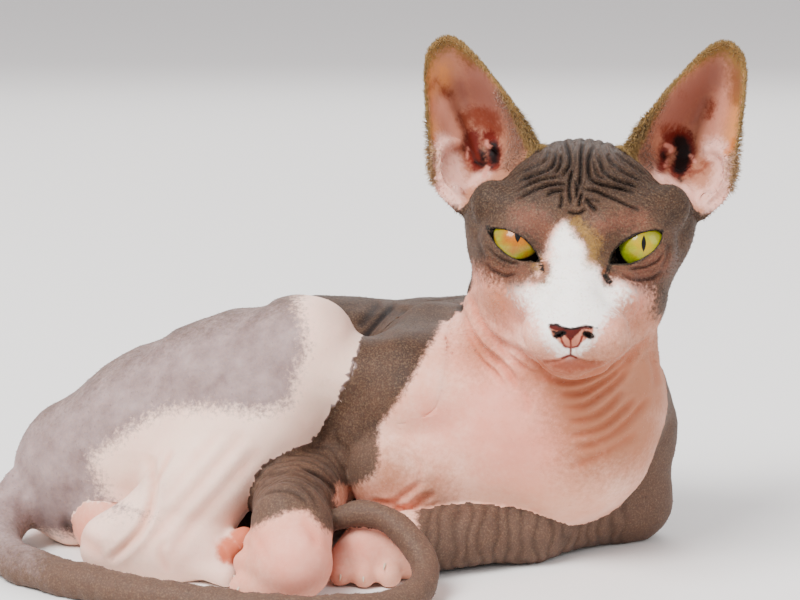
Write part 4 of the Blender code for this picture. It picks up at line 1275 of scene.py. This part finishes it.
def patch_marks(points, spots, labels, own):
    """Marks of the warm, pink, tanner and milky patches, and of the pink between two toes. The tanner patches
    are partly painted shade.
    """
    neck_warmth = 4 * ramp(labels["neck"], 0, 1)
    marks = {"warm": -points[:, 2] * 0.05 + 4 * wobble(points, 50, 37) + neck_warmth}
    for name, places in PATCHES.items():
        depths = [reach - np.linalg.norm(spots - (u, v), axis=1) / PX for u, v, reach in places]
        marks[name] = np.where(labels["ear"] < 0.5, np.max(depths, axis=0), OFF_BODY)
    marks["milk"] = np.where(own["hind_right"], 8 + 3 * wobble(points, 30, 43), OFF_BODY)
    tips = [length(points - small(tip)) for _, tip in RIGHT_HIND_TOES[1:3]]
    marks["toes"] = np.where(own["hind_right"], 5.4 - np.min(tips, axis=0), OFF_BODY)
    return marks


def mark_skin(skin, sheet):
    """Puts every mark on the skin. Returns what the down has to know about it."""
    points, normals = points_of(skin), normals_of(skin)
    gap, depth, above = sheet.measure(points)
    hollow = sheet.hollow(gap, depth, above)
    labels = label(points, gap, hollow)
    own = own_parts(labels)
    spots = in_photo(points)
    x, _, z = in_head(points).T
    # The crease mark is painted shade: it darkens the skin in the valleys of its folds.
    marks = {"crease": wrinkles(points, normals, labels)[1]}
    marks |= coat_marks(points, spots, labels, own, hollow)
    marks |= face_marks(points, spots, labels["trunk"] > 0.5)
    marks |= ear_marks(spots, np.abs(x), z, gap, depth, hollow, labels["ear"] > 0.5)
    marks |= patch_marks(points, spots, labels, own)
    put_marks(skin, marks)
    return points, normals, labels, marks, gap, hollow


# Outlines of the ears' bare hollows; between them and the brow the skin is downy and dark.
EAR_OPENINGS = (
    ((405, 20), (500, 20), (514, 92), (524, 134), (519, 150), (515, 164), (502, 172), (483, 182), (462, 196),
     (446, 208), (405, 216)),
    ((770, 20), (660, 20), (646, 92), (636, 132), (640, 152), (647, 166), (658, 180), (672, 193), (690, 207),
     (705, 218), (770, 226)),
)
# Strokes of colour in the ears' hollows: (points, half width in mm)
EAR_PAINT = {
    "cup": (
        (((478, 66), (480, 86), (486, 106), (488, 120)), 5.6), (((462, 84), (466, 104)), 3.0),
        (((712, 74), (692, 92), (676, 112), (672, 126)), 5.6), (((704, 100), (694, 118)), 3.4),
    ),
    # Painted light: an orange glow where light shines through the thin outer edges of the ears.
    "painted_backlight": (
        (((426, 66), (425, 90), (428, 114), (431, 128)), 3.4), (((441, 70), (444, 82)), 2.4),
        (((737, 100), (734, 126), (731, 136)), 2.6), (((668, 80), (700, 58)), 2.0),
    ),
    # Pink skin on the ridge inside each ear, lightened as a painted highlight.
    "pink_and_highlight": (
        (((440, 108), (449, 126), (455, 142)), 3.6), (((724, 92), (714, 118), (712, 138)), 3.4),
    ),
    "front": (
        (((506, 96), (515, 118), (519, 144), (511, 162)), 3.6),
        (((656, 100), (645, 124), (642, 148), (650, 164)), 3.6),
    ),
    "tip": (
        (((424, 54), (432, 46), (446, 40), (460, 48), (472, 60)), 2.6),
        (((700, 54), (718, 45), (732, 52), (738, 66), (737, 98)), 3.2),
    ),
    # Reddish-brown spots of the ears, and the first band of each ear, above its canal, is painted shade.
    "rust_and_shade": (
        (((463, 118), (478, 113), (494, 118)), 2.4), (((466, 126), (482, 122), (498, 130)), 2.2),
        (((444, 90), (447, 94)), 1.5), (((457, 152), (462, 160), (470, 168)), 1.2),
        (((461, 183), (464, 185)), 1.1),
        (((446, 157), (445, 159)), 0.7), (((430, 88), (436, 80)), 0.5),
        (((664, 130), (678, 130), (690, 138)), 1.8), (((704, 164), (712, 161)), 1.4),
        (((690, 174), (702, 170)), 1.1), (((712, 104), (708, 116)), 1.4), (((683, 94), (684, 95)), 0.4),
    ),
    "lobe": (
        (((441, 146), (436, 168), (440, 190), (450, 198)), 4.6), (((452, 160), (458, 184)), 3.2),
        (((470, 182), (487, 172)), 1.8), (((713, 148), (724, 158), (723, 180), (710, 200)), 4.0),
        (((684, 192), (702, 198)), 3.0), (((652, 166), (662, 180)), 1.9), (((670, 178), (676, 186)), 1.6),
    ),
    # The canals' own dark red, deepened as painted shade where they run into the head.
    "canal": (
        (((472, 138), (474, 152), (478, 164)), 3.0), (((489, 138), (494, 150), (493, 164)), 2.8),
        (((466, 146), (468, 158)), 1.2), (((672, 140), (684, 140), (686, 158), (678, 170)), 3.4),
        (((664, 150), (662, 168)), 2.0),
    ),
    # Painted shade: near-black where the canals run deep into the head.
    "canal_shade": (
        (((493, 146), (494, 160)), 1.9), (((482, 150), (483, 160)), 1.0), (((476, 162), (490, 168)), 0.8),
        (((680, 142), (684, 152), (680, 168)), 2.6), (((663, 154), (664, 158)), 0.9),
        (((680, 178), (681, 181)), 0.7),
    ),
    "lump": (
        (((486, 141), (487, 145), (490, 147)), 0.7), (((487, 168), (484, 176)), 0.9),
        (((666, 145), (671, 147), (671, 152)), 0.8), (((665, 166), (668, 160)), 0.5),
        (((468, 148), (467, 158)), 0.4), (((691, 156), (695, 162)), 0.6),
    ),
    "notch": ((((424, 129), (428, 138), (432, 139)), 1.5), (((736, 141), (731, 150), (728, 152)), 1.4)),
}


def ear_marks(spots, out, up, gap, depth, hollow, ear):
    """Marks of the ears, from where each point is in the photo and how far out and up on the head."""
    marks = {"bowl": np.where(hollow, 6.0, -6.0)}
    for name, lines in EAR_PAINT.items():
        marks[name] = np.where(hollow, near_lines(spots, lines), ABSENT)
    rim = 1.6 + np.clip(32 - out, 0, 20) * 0.4 + 1.4 * ramp(up, 60, 72) - depth * 34
    marks["rim"] = np.where(ear | (gap < 2.5), np.where(up > 26, rim, -8), ABSENT)
    marks["rim"] = np.where(ear & ~hollow & (up > 22), np.maximum(marks["rim"], 2 - depth * 22), marks["rim"])
    lobe = np.where(gap < 3.4, ramp(out, 38, 44) * 8 - np.abs(up - 25) + 3, ABSENT)
    marks["lobe"] = np.where(hollow, marks["lobe"], lobe)
    return marks


# Patches where the skin is pinker, and where it is tanner or painted with shade, as (photo x, photo y, reach in
# mm).
PATCHES = {
    "blush": (
        (300, 560, 17), (268, 545, 10), (232, 565, 7), (175, 555, 10), (365, 545, 9), (520, 420, 24),
        (480, 360, 12), (600, 310, 9), (506, 306, 11), (490, 290, 9), (90, 540, 12), (330, 330, 8),
        (440, 420, 10), (350, 326, 10), (318, 300, 8), (120, 540, 9), (200, 560, 7), (640, 300, 9),
        (478, 275, 6),
    ),
    # Tanner skin of the neck and cheeks, and painted shade low on the neck and in folds of the chest and thigh.
    "tan_and_shade": (
        (598, 400, 21), (634, 384, 19), (650, 350, 11), (560, 384, 10), (622, 428, 18), (590, 450, 11),
        (497, 300, 9), (510, 290, 6), (652, 318, 8), (540, 372, 8), (390, 478, 8), (430, 490, 6),
        (352, 488, 6), (318, 400, 5), (640, 326, 8), (625, 305, 6), (480, 350, 7), (354, 340, 7),
        (340, 312, 6), (152, 480, 4), (130, 540, 5),
    ),
}

# Lines of the face where pinker skin shows through the pigment: (points, half width in mm)
ROSY_LINES = (
    (((522, 218), (540, 224), (551, 240)), 4.0),
    (((600, 226), (620, 222), (640, 220)), 3.0),
    (((488, 270), (505, 276), (522, 272)), 3.0),
    (((626, 276), (645, 274), (660, 262)), 4.5),
)


# Materials.

# Sizes of patterns are given in millimetres, but the renderer counts them per metre.
PER_MM = 1000
RGBA = {"data_type": "RGBA"}
SHADE = {"data_type": "RGBA", "blend_type": "MULTIPLY"}
SMOOTH = {"interpolation_type": "SMOOTHSTEP"}
TIMES = {"operation": "MULTIPLY"}
TIMES_PLUS = {"operation": "MULTIPLY_ADD"}


def linear(code):
    """A hex colour as the eye reads it, made the light that the renderer needs."""
    levels = [int(code[i : i + 2], 16) / 255 for i in (0, 2, 4)]
    return (*[v / 12.92 if v <= 0.04045 else ((v + 0.055) / 1.055) ** 2.4 for v in levels], 1.0)


def give(tree, node, sockets):
    """Gives each named socket of a node a value, or links another node's output to it."""
    for name, value in sockets.items():
        if isinstance(value, bpy.types.NodeSocket):
            tree.links.new(value, node.inputs[name])
        else:
            node.inputs[name].default_value = value


def add(tree, kind, settings, sockets, out=None):
    """Adds a node with its settings and links. Returns its named output, or its first one in use."""
    node = tree.nodes.new("ShaderNode" + kind)
    for name, value in settings.items():
        setattr(node, name, value)
    give(tree, node, sockets)
    return node.outputs[out] if out else next(end for end in node.outputs if end.enabled)


def inked(tree, colour, value, low, high, strength, ink, ease=SMOOTH, blend=RGBA):
    """Lays an ink over a colour where a value is high. Returns the colour and the ink's share."""
    share = add(tree, "MapRange", ease, {0: value, 1: low, 2: high, 3: 0.0, 4: strength})
    return add(tree, "Mix", blend, {0: share, 6: colour, 7: ink}), share


def new_material(name):
    """A plain material, its node tree and its shader."""
    material = bpy.data.materials.new(name)
    material.use_nodes = True
    return material, material.node_tree, material.node_tree.nodes["Principled BSDF"]


# Layers of colour from the bottom up:
# (mark, colour, how soft its edge is in mm, how ragged its edge is in mm, strength)
PIGMENT_LAYERS = (
    ("worn", "58443A", 9.0, 4.0, 0.7),
    ("umber", "1C1006", 8.0, 3.0, 0.8),
    ("rosy", "6E3E2E", 3.5, 3.0, 0.6),
    ("thin", "", 9.0, 4.0, 1.0),
)
SKIN_LAYERS = (
    ("warm", "DB9878", 9.0, 2.0, 0.7),
    # Tanner skin, partly painted shade low on the neck and in folds.
    ("blush", "E0806C", 12.0, 3.0, 0.55),
    ("tan_and_shade", "9C6040", 10.0, 3.0, 0.85),
    ("milk", "F8DCCA", 9.0, 3.0, 0.65),
    ("white", "FFF8F0", 2.4, 1.8, 0.97),
    ("lips", "86402C", 1.8, 0.6, 0.85),
    ("mole", "", 1.5, 1.2, 0.98),
    ("bowl", "A26A50", 2.4, 1.2, 0.95),
    # Painted light shining through the ears' thin edges.
    ("painted_backlight", "CC8446", 4.0, 1.6, 0.85),
    # Pink ridge inside the ear, with a painted highlight.
    ("pink_and_highlight", "C4846E", 3.4, 1.4, 0.85),
    ("cup", "8C584A", 4.0, 1.6, 0.9),
    ("tip", "643A12", 2.6, 1.6, 0.75),
    # Reddish-brown spots, and painted shade above the canals.
    ("rust_and_shade", "702C16", 2.0, 1.2, 0.85),
    ("lobe", "DDA898", 2.0, 1.2, 0.9),
    ("front", "6E4C3C", 3.0, 1.6, 0.85),
    ("notch", "B0601C", 1.2, 0.8, 0.85),
    # Dark red canal, partly painted shade of its depth.
    ("canal", "5A0E06", 1.4, 0.8, 0.95),
    # Painted shade: near-black deep in the canal.
    ("canal_shade", "0A0101", 1.1, 0.5, 0.98),
    ("lump", "C88472", 0.6, 0.4, 0.9),
    ("rim", "7E6030", 1.6, 1.2, 0.85),
    ("gold", "967034", 3.0, 2.4, 0.7),
    ("stain", "6A3412", 1.0, 1.0, 0.8),
    ("pads", "B4674A", 0.5, 0.25, 0.95),
    ("leather", "4A130C", 0.4, 0.25, 1.0),
    ("red", "6E160E", 0.3, 0.15, 0.9),
    ("toes", "C05A34", 1.2, 0.5, 0.9),
    ("kohl", "0C0706", 0.4, 0.3, 0.98),
)


def layered(tree, colour, layers, ragged, inks):
    """Lays marks over a colour. Returns the colour and how much of each mark shows."""
    shares = {}
    for name, tint, soft, torn, strength in layers:
        mark = add(tree, "Attribute", {"attribute_name": name}, {}, "Fac")
        mark = add(tree, "Math", TIMES_PLUS, {0: ragged, 1: torn, 2: mark})
        ink = inks.get(name) or linear(tint)
        colour, shares[name] = inked(tree, colour, mark, -soft, soft, strength, ink)
    return colour, shares


def skin_colour(tree, place):
    """Pink and mole-grey mottled skin with all its marks. Returns the colour and each mark's share."""
    ragged, mottle = (
        add(tree, "MapRange", {}, {0: add(tree, "TexNoise", {}, noise), 1: 0.3, 2: 0.7, 3: low, 4: 1.0})
        for noise, low in (
            ({"Vector": place, "Scale": PER_MM / 1.7, "Detail": 4.0, "Roughness": 0.7}, -1.0),
            ({"Vector": place, "Scale": PER_MM / 9, "Detail": 5.0, "Roughness": 0.6}, 0.0),
        )
    )
    pale, dark, thin = (
        add(tree, "Mix", RGBA, {0: mottle, 6: linear(one), 7: linear(other)})
        for one, other in (("F2C2AE", "E4A28A"), ("241710", "483122"), ("745F5E", "9A8684"))
    )
    dark, _ = layered(tree, dark, PIGMENT_LAYERS, ragged, {"thin": thin})
    return layered(tree, pale, SKIN_LAYERS, ragged, {"mole": dark})


def skin_finish():
    """Bare cat skin: matt and faintly downy, with shallow cells and painted shade darkening its creases."""
    material, tree, shader = new_material("bare_skin")
    place = add(tree, "TexCoord", {}, {}, "Object")
    colour, shares = skin_colour(tree, place)
    mole = shares["mole"]
    grain = add(tree, "TexNoise", {}, {"Vector": place, "Scale": PER_MM / 0.7, "Detail": 3.0, "Roughness": 0.7})
    speck = add(tree, "MapRange", {}, {0: grain, 1: 0.48, 2: 0.7, 3: 0.0, 4: 0.22})
    speck = add(tree, "Math", TIMES, {0: speck, 1: mole})
    colour = add(tree, "Mix", RGBA, {0: speck, 6: colour, 7: linear("AC8D6C")})
    # Painted shade: the creases are darkened, faintly on pale skin and deeply on the pigment.
    crease = add(tree, "Attribute", {"attribute_name": "crease"}, {}, "Fac")
    fold = add(tree, "Mix", RGBA, {0: mole, 6: linear("F8E4DC"), 7: linear("5E4A3C")})
    colour = add(tree, "Mix", SHADE, {0: crease, 6: colour, 7: fold})
    cells = add(tree, "TexVoronoi", {"feature": "DISTANCE_TO_EDGE"}, {"Vector": place, "Scale": PER_MM / 1.5})
    rough = add(tree, "Math", TIMES_PLUS, {0: cells, 1: 0.6, 2: grain})
    bump = add(tree, "Bump", {}, {"Strength": 0.35, "Distance": 0.00025, "Height": rough})
    give(tree, shader, {
        "Base Color": colour, "Normal": bump, "Roughness": 0.62, "IOR": 1.4, "Specular IOR Level": 0.22,
        "Sheen Weight": 0.03, "Sheen Roughness": 0.45,
        "Subsurface Weight": 0.12, "Subsurface Radius": (1.0, 0.35, 0.2), "Subsurface Scale": 0.0035,
    })
    return material


def down_finish():
    """Soft matt down in the skin's own colours, bleaching to straw or cream towards its tips."""
    material, tree, shader = new_material("cat_down")
    colour, shares = skin_colour(tree, add(tree, "TexCoord", {}, {}, "Object"))
    outer, tone = (add(tree, "Attribute", {"attribute_name": name}, {}, "Fac") for name in ("outer", "tone"))
    tip = add(tree, "Mix", RGBA, {0: shares["mole"], 6: linear("F6E8DC"), 7: linear("927A64")})
    tip = add(tree, "Mix", RGBA, {0: shares["rim"], 6: tip, 7: linear("CDAE6E")})
    reach = add(tree, "Math", TIMES_PLUS, {0: outer, 1: 0.42, 2: 0.0})
    reach = add(tree, "Math", TIMES, {0: reach, 1: tone})
    colour = add(tree, "Mix", RGBA, {0: reach, 6: colour, 7: tip})
    give(tree, shader, {
        "Base Color": colour, "Roughness": 0.75, "Specular IOR Level": 0.15,
        "Sheen Weight": 0.1, "Sheen Roughness": 0.5,
    })
    return material


def claw_finish():
    """Horn of a claw: cream, slightly glossy."""
    material, tree, shader = new_material("claw_horn")
    give(tree, shader, {"Base Color": linear("CBB29A"), "Roughness": 0.35})
    return material


def eye_finish(name, middle, edge, warm, gaze, slit):
    """Wet eye: a fibrous iris round a slit pupil, under a clear glossy cornea, with painted shade of the upper
    lid over the top of the iris.
    """
    material, tree, shader = new_material(name)
    place = add(tree, "TexCoord", {}, {}, "Object")
    centre = tuple((gaze + SHIFT) * MM)
    turn = Matrix(HEAD_AXES.tolist()).transposed().to_euler()
    local = add(tree, "VectorMath", {"operation": "SUBTRACT"}, {0: place, 1: centre})
    local = add(tree, "Mapping", {}, {"Vector": local, "Rotation": turn, "Scale": (PER_MM,) * 3})
    across, _, up = add(tree, "SeparateXYZ", {}, {0: local}).node.outputs
    flat = add(tree, "CombineXYZ", {}, {0: across, 2: up})
    radius = add(tree, "VectorMath", {"operation": "LENGTH"}, {0: flat})
    angle = add(tree, "Math", {"operation": "ARCTAN2"}, {0: up, 1: across})
    spin = add(tree, "CombineXYZ", {}, {0: angle, 1: radius})
    spin = add(tree, "Mapping", {}, {"Vector": spin, "Scale": (7.0, 0.5, 1.0)})
    fibres = add(tree, "TexNoise", {}, {"Vector": spin, "Scale": 1.6, "Detail": 5.0, "Roughness": 0.7})
    patches = add(tree, "TexNoise", {}, {"Vector": local, "Scale": 0.28, "Detail": 3.0})
    colour = linear(middle)
    for value, low, high, strength, ink, ease, blend in (
        (radius, 2.0, 8.2, 1.0, edge, SMOOTH, RGBA),
        (patches, 0.42, 0.66, 0.65, warm, {}, RGBA),
        (fibres, 0.35, 0.75, 0.42, "A89048", {}, SHADE),
        # Painted shade: the top of the iris darkened as if under the upper lid.
        (up, 0.5, 5.0, 0.55, "4A4210", SMOOTH, RGBA),
    ):
        colour, _ = inked(tree, colour, value, low, high, strength, linear(ink), ease, blend)
    # The pupil's half width falls away above and below its middle.
    wide = add(tree, "Math", {"operation": "DIVIDE"}, {0: up, 1: PUPIL_HALF_HEIGHT})
    wide = add(tree, "Math", TIMES, {0: wide, 1: wide})
    wide = add(tree, "Math", {"operation": "SUBTRACT"}, {0: 1.0, 1: wide})
    wide = add(tree, "Math", TIMES, {0: wide, 1: slit})
    away = add(tree, "Math", {"operation": "ABSOLUTE"}, {0: across})
    pupil = add(tree, "Math", {"operation": "SUBTRACT"}, {0: wide, 1: away})
    colour, _ = inked(tree, colour, pupil, -0.1, 0.16, 1.0, linear("060505"))
    colour, _ = inked(tree, colour, radius, 8.1, 8.9, 1.0, linear("0D0806"))
    give(tree, shader, {
        "Base Color": colour, "Roughness": 0.25, "IOR": 1.38, "Specular IOR Level": 0.25,
        "Coat Weight": 0.3, "Coat Roughness": 0.02,
    })
    return material


# Short down, in tufts of a few hairs each.

# A tuft is a ring of three points at its root, three in its middle and a tip.
TUFT_FACES = np.array((
    (0, 1, 4), (0, 4, 3), (1, 2, 5), (1, 5, 4), (2, 0, 3), (2, 3, 5),
    (3, 4, 6), (4, 5, 6), (5, 3, 6), (2, 1, 0),
))
TUFT_POINTS = 7
# Which way the hairs of each part lie.
FLOW = {
    "trunk": (-0.8, 0.3, -0.5), "fore_right": (-0.4, -0.8, -0.5), "fore_left": (-0.9, -0.3, -0.2),
    "hind_right": (0.1, -0.6, -0.8), "hind_left": (0.6, 0.0, -0.8), "tail": (0.9, -0.4, -0.1),
    "ear": (0, 0.2, 1),
}
FAMILIES = tuple(FLOW)
# Marks on which no down grows, and how wide a tuft's own patch of the flat skin is.
BARE_MARKS = ("leather", "pads", "lips", "kohl", "red", "canal", "toes")
UV_PATCH = 0.003
# Kinds of down: (name, tufts, length in mm, half width in mm, how far it stands off in degrees)
DOWN = (
    ("ear_fringe", 19500, 2.5, 0.11, 40),
    ("face_down", 18000, 0.75, 0.08, 28),
    ("body_down", 18000, 0.8, 0.085, 20),
)


def unwrapped(points, normals, family):
    """A place for each point on the skin laid flat: each part of the body in a row, six ways it faces."""
    axis = np.argmax(np.abs(normals), axis=1)
    facing = axis * 2 + (normals[np.arange(len(points)), axis] > 0)
    laid = np.zeros((len(points), 2))
    for row in range(len(FAMILIES)):
        for column in range(6):
            here = np.nonzero((family == row) & (facing == column))[0]
            if len(here):
                flat = np.delete(points[here], column // 2, axis=1)
                size = max(np.ptp(flat, axis=0).max(), 1.0)
                laid[here] = (flat - flat.min(0)) / size * 0.9 + 0.05
                laid[here] = (laid[here] + (column, row)) / (6, len(FAMILIES))
    return laid


def lie(points, normals, labels, ear_down):
    """The way the down lies at each point, along the skin."""
    way = np.zeros_like(points)
    for name, flow in FLOW.items():
        way += labels[name][:, None] * np.array(flow)
    local = in_head(points)
    x, y, z = local.T
    skull = labels["trunk"] * ramp(z, -40, -28)
    face = np.stack((x / 24, np.full(len(x), 0.7), 0.35 * np.sign(z + 8)), 1) @ HEAD_AXES.T
    way = way * (1 - skull[:, None]) + face * skull[:, None]
    outward = np.stack((x - np.sign(x) * 38, np.zeros(len(x)), z - 46), 1)
    outward /= length(outward)[:, None] + 1e-6
    outward += np.stack((np.sign(x) * 0.2, np.full(len(x), -0.1), np.full(len(x), 0.35)), 1)
    outward = outward @ HEAD_AXES.T
    way = np.where(ear_down[:, None], outward, way)
    way -= normals * (way * normals).sum(1)[:, None]
    return way / (length(way)[:, None] + 1e-6)


def down_cover(points, labels, marks, gap, hollow):
    """How densely each kind of down grows at each point."""
    local = in_head(points)
    x, y, z = local.T
    bare = np.max([marks[name] for name in BARE_MARKS], axis=0) > -0.6
    bare |= (np.minimum(lens(points, -1), lens(points, 1)) < 0.8) & (y < 14)
    bare |= points[:, 2] < 1.5
    near_ear = (labels["ear"] > 0.5) | (gap < 3)
    rim, lobe = ramp(marks["rim"], -0.5, 2.5), ramp(marks["lobe"], -1, 3)
    fringe = 1.6 * rim + 0.5 * lobe * ramp(np.abs(x), 44, 54) + 0.4 * (~hollow & near_ear)
    fringe += 0.5 * ramp(marks["front"], -2, 1) * hollow
    skull = (labels["trunk"] > 0.5) & (z > -42) & (y < 46)
    weights = (
        np.where(near_ear, fringe, 0),
        np.where(skull & ~near_ear, 1.0, 0),
        np.where(~skull & ~near_ear, 0.35 + 0.65 * ramp(marks["mole"], -1, 1) + labels["tail"], 0),
    )
    return [np.where(bare, 0.0, weight) for weight in weights]


def make_down(skin, points, normals, labels, marks, gap, hollow):
    """Grows every kind of down from the skin, each a piece of its own."""
    near_ear = (labels["ear"] > 0.5) | (gap < 3)
    ways = lie(points, normals, labels, near_ear)
    family = np.argmax([labels[name] for name in FAMILIES], axis=0)
    laid = unwrapped(points, normals, family)
    corners = read(skin.data.loops, "vertex_index", 1, np.int32).reshape(-1, 3)
    edge_a, edge_b = (points[corners[:, i]] - points[corners[:, 0]] for i in (1, 2))
    area = length(np.cross(edge_a, edge_b))
    draw = np.random.default_rng(61)
    finish = down_finish()
    for (name, count, reach, half, stand), weight in zip(DOWN, down_cover(points, labels, marks, gap, hollow)):
        chance = area * weight[corners].min(axis=1)
        picked = draw.choice(len(corners), count, p=chance / chance.sum())
        share = draw.dirichlet((1, 1, 1), count)
        first = corners[picked, np.argmax(share, axis=1)]
        root = (points[corners[picked]] * share[:, :, None]).sum(1)
        up, way = normals[first], ways[first]
        uv = (laid[corners[picked]] * share[:, :, None]).sum(1)
        same = np.ptp(laid[corners[picked]], axis=1).max(1) < 0.02
        uv = np.where(same[:, None], uv, laid[first])
        side = np.cross(up, way)
        turn = draw.normal(0, 0.3, count)[:, None]
        way = way * np.cos(turn) + side * np.sin(turn)
        side = np.cross(up, way)
        lift = np.radians(stand + draw.normal(0, 9, count))[:, None]
        size = reach * draw.uniform(0.65, 1.3, count)[:, None]
        if name == "ear_fringe":
            size *= (0.45 + 0.75 * ramp(marks["rim"][first] + marks["lobe"][first] * 0.2, -1.5, 2))[:, None]
        rise = np.cos(lift) * way + np.sin(lift) * up
        end = np.cos(lift * 0.4) * way + np.sin(lift * 0.4) * up
        other = np.cross(rise, side)
        rings = [side * math.cos(a) + other * math.sin(a) for a in map(math.radians, (90, 210, 330))]
        base, middle = root - up * 0.15, root + rise * size * 0.55
        tuft = [base + ring * half for ring in rings] + [middle + ring * half * 0.75 for ring in rings]
        tuft = np.stack(tuft + [middle + end * size * 0.45], 1)
        tuft[:, :, 2] = np.maximum(tuft[:, :, 2], 0.05)
        faces = (TUFT_FACES[None] + TUFT_POINTS * np.arange(count)[:, None, None]).reshape(-1, 3)
        piece = new_piece(name, tuft.reshape(-1, 3), faces.tolist())
        piece.data.shade_smooth()
        layers = [row[0] for row in PIGMENT_LAYERS + SKIN_LAYERS]
        copied = {layer: np.repeat(marks[layer][first], TUFT_POINTS) for layer in layers}
        outer = np.tile((0, 0, 0, 0.6, 0.6, 0.6, 1.0), count)
        tone = np.repeat(draw.uniform(0.3, 1.0, count), TUFT_POINTS)
        put_marks(piece, copied | {"outer": outer, "tone": tone})
        spread_out = (tuft - root[:, None]) @ np.eye(3)[:, :2] / (2 * reach)
        patch = uv[:, None] + np.clip(spread_out, -0.5, 0.5) * UV_PATCH
        chart = piece.data.uv_layers.new(name="OFBake")
        chart.data.foreach_set("uv", patch.reshape(-1, 2)[faces.reshape(-1)].astype(np.float32).ravel())
        piece.data.materials.append(finish)
        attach(piece, "root")


# Claws, as (base of the toe's end, which way the claw points)
CLAWS = (
    ((-21, -23, 6), (-0.1, -0.9, -0.5)), ((-13, -25, 6), (0, -0.9, -0.5)), ((-5, -22.5, 9), (-0.2, -0.9, -0.2)),
    ((-52, -31, 9), (-0.7, -0.6, -0.4)), ((-55, -41, 6), (-0.6, -0.7, -0.4)),
    ((-56, -5, 5), (0.9, -0.3, -0.4)), ((-60, -24, 5), (0.8, -0.5, -0.4)),
)


def make_claws():
    """Small hooked claws, mostly sheathed."""
    finish = claw_finish()
    for i, (root, way) in enumerate(CLAWS):
        way = np.array(way) / np.linalg.norm(way)
        bpy.ops.object.select_all(action="DESELECT")
        bpy.ops.mesh.primitive_uv_sphere_add(segments=12, ring_count=10, radius=1.0, calc_uvs=False)
        claw = bpy.context.object
        claw.name = f"claw_{i + 1}"
        ball = read(claw.data.vertices, "co", 3, float)
        along = (ball[:, 2] + 1) / 2
        side = np.cross(way, (0, 0, 1))
        side /= np.linalg.norm(side)
        over = np.cross(side, way)
        thick = 0.75 * (1 - 0.6 * along)[:, None]
        shape = way * (along * 4.4)[:, None] - over * (along**2 * 0.9)[:, None]
        shape = shape + (side * ball[:, :1] + over * ball[:, 1:2]) * thick
        put_points(claw, np.array(root) + shape)
        claw.data.shade_smooth()
        claw.data.materials.append(finish)
        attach(claw, "root")


# Each eye: (side, name, inner iris, outer iris, patches, pupil's place right and up of the middle,
# pupil's half width)
EYES = (
    (-1, "right", "A8600C", "84841C", "98500E", (0.3, 3.0), 1.15),
    (1, "left", "AA8E00", "66780A", "8A960A", (1.0, 0.9), 0.82),
)
PUPIL_HALF_HEIGHT = 3.0


def make_eyes():
    """Two eyeballs, each a sphere with the slight bulge of its cornea towards the viewer."""
    for side, word, middle, edge, warm, aim, slit in EYES:
        centre = on_head(EYE_AT * (side, 1, 1))
        bpy.ops.object.select_all(action="DESELECT")
        place = tuple((centre + SHIFT) * MM)
        bpy.ops.mesh.primitive_uv_sphere_add(
            segments=64, ring_count=40, radius=EYEBALL * MM, location=place, calc_uvs=False
        )
        eye = bpy.context.object
        bpy.ops.object.transform_apply(location=True, rotation=True, scale=True)
        eye.name = "eyeball_" + word
        points = points_of(eye)
        out = (points - centre) @ HEAD_AXES / EYEBALL
        bulge = 0.35 * ramp(-out[:, 1], 0.6, 0.98)
        put_points(eye, points + (points - centre) / EYEBALL * bulge[:, None])
        eye.data.shade_smooth()
        eye.data.materials.clear()
        gaze = on_head(EYE_AT * (side, 1, 1) + (aim[0], 0, aim[1]))
        eye.data.materials.append(eye_finish("wet_iris_" + word, middle, edge, warm, gaze, slit))
        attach(eye, "root")
        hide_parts("eye_" + word)


def make_stage():
    """A plain pale floor that reaches far behind the cat."""
    bpy.ops.object.select_all(action="DESELECT")
    bpy.ops.mesh.primitive_plane_add(size=60, location=(0, 0, -0.0002))
    floor = bpy.context.object
    floor.name = "floor"
    material, tree, shader = new_material("matt_paper")
    give(tree, shader, {"Base Color": linear("E9E7E4"), "Roughness": 0.9})
    floor.data.materials.append(material)
    world = bpy.data.worlds.new("studio")
    bpy.context.scene.world = world
    world.use_nodes = True
    sky = world.node_tree.nodes["Background"]
    give(world.node_tree, sky, {"Color": linear("EFEBEE"), "Strength": 1.1})
    for name, place, power, size in (
        ("window", (-1.3, -1.5, 2.4), 190, 1.5),
        ("side", (1.9, -1.2, 1.4), 20, 1.4),
        ("behind", (0.2, 2.2, 1.8), 36, 1.8),
    ):
        bpy.ops.object.light_add(type="AREA", location=place)
        lamp = bpy.context.object
        lamp.name = name
        lamp.data.energy = power
        lamp.data.size = size
        aim = Vector((0.02, -0.02, 0.08)) - Vector(place)
        lamp.rotation_euler = aim.to_track_quat("-Z", "Y").to_euler()


def make_camera():
    """The camera, from the photo's side and height."""
    ahead = Vector((0, math.cos(CAMERA_TILT), -math.sin(CAMERA_TILT)))
    aim = Vector((CAMERA_AIM + SHIFT) * MM)
    bpy.ops.object.camera_add(location=aim - ahead * CAMERA_AWAY * MM)
    camera = bpy.context.object
    camera.rotation_euler = ahead.to_track_quat("-Z", "Y").to_euler()
    camera.data.lens = LENS
    camera.data.sensor_width = FILM
    bpy.context.scene.camera = camera


def main():
    make_camera()
    skin, sheet = make_skin()
    grown = mark_skin(skin, sheet)
    skin.data.materials.clear()
    skin.data.materials.append(skin_finish())
    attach(skin, "root")
    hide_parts(*[name for name in frame["nodes"] if not name.startswith("eye")])
    make_down(skin, *grown)
    make_claws()
    make_eyes()
    make_stage()


main()
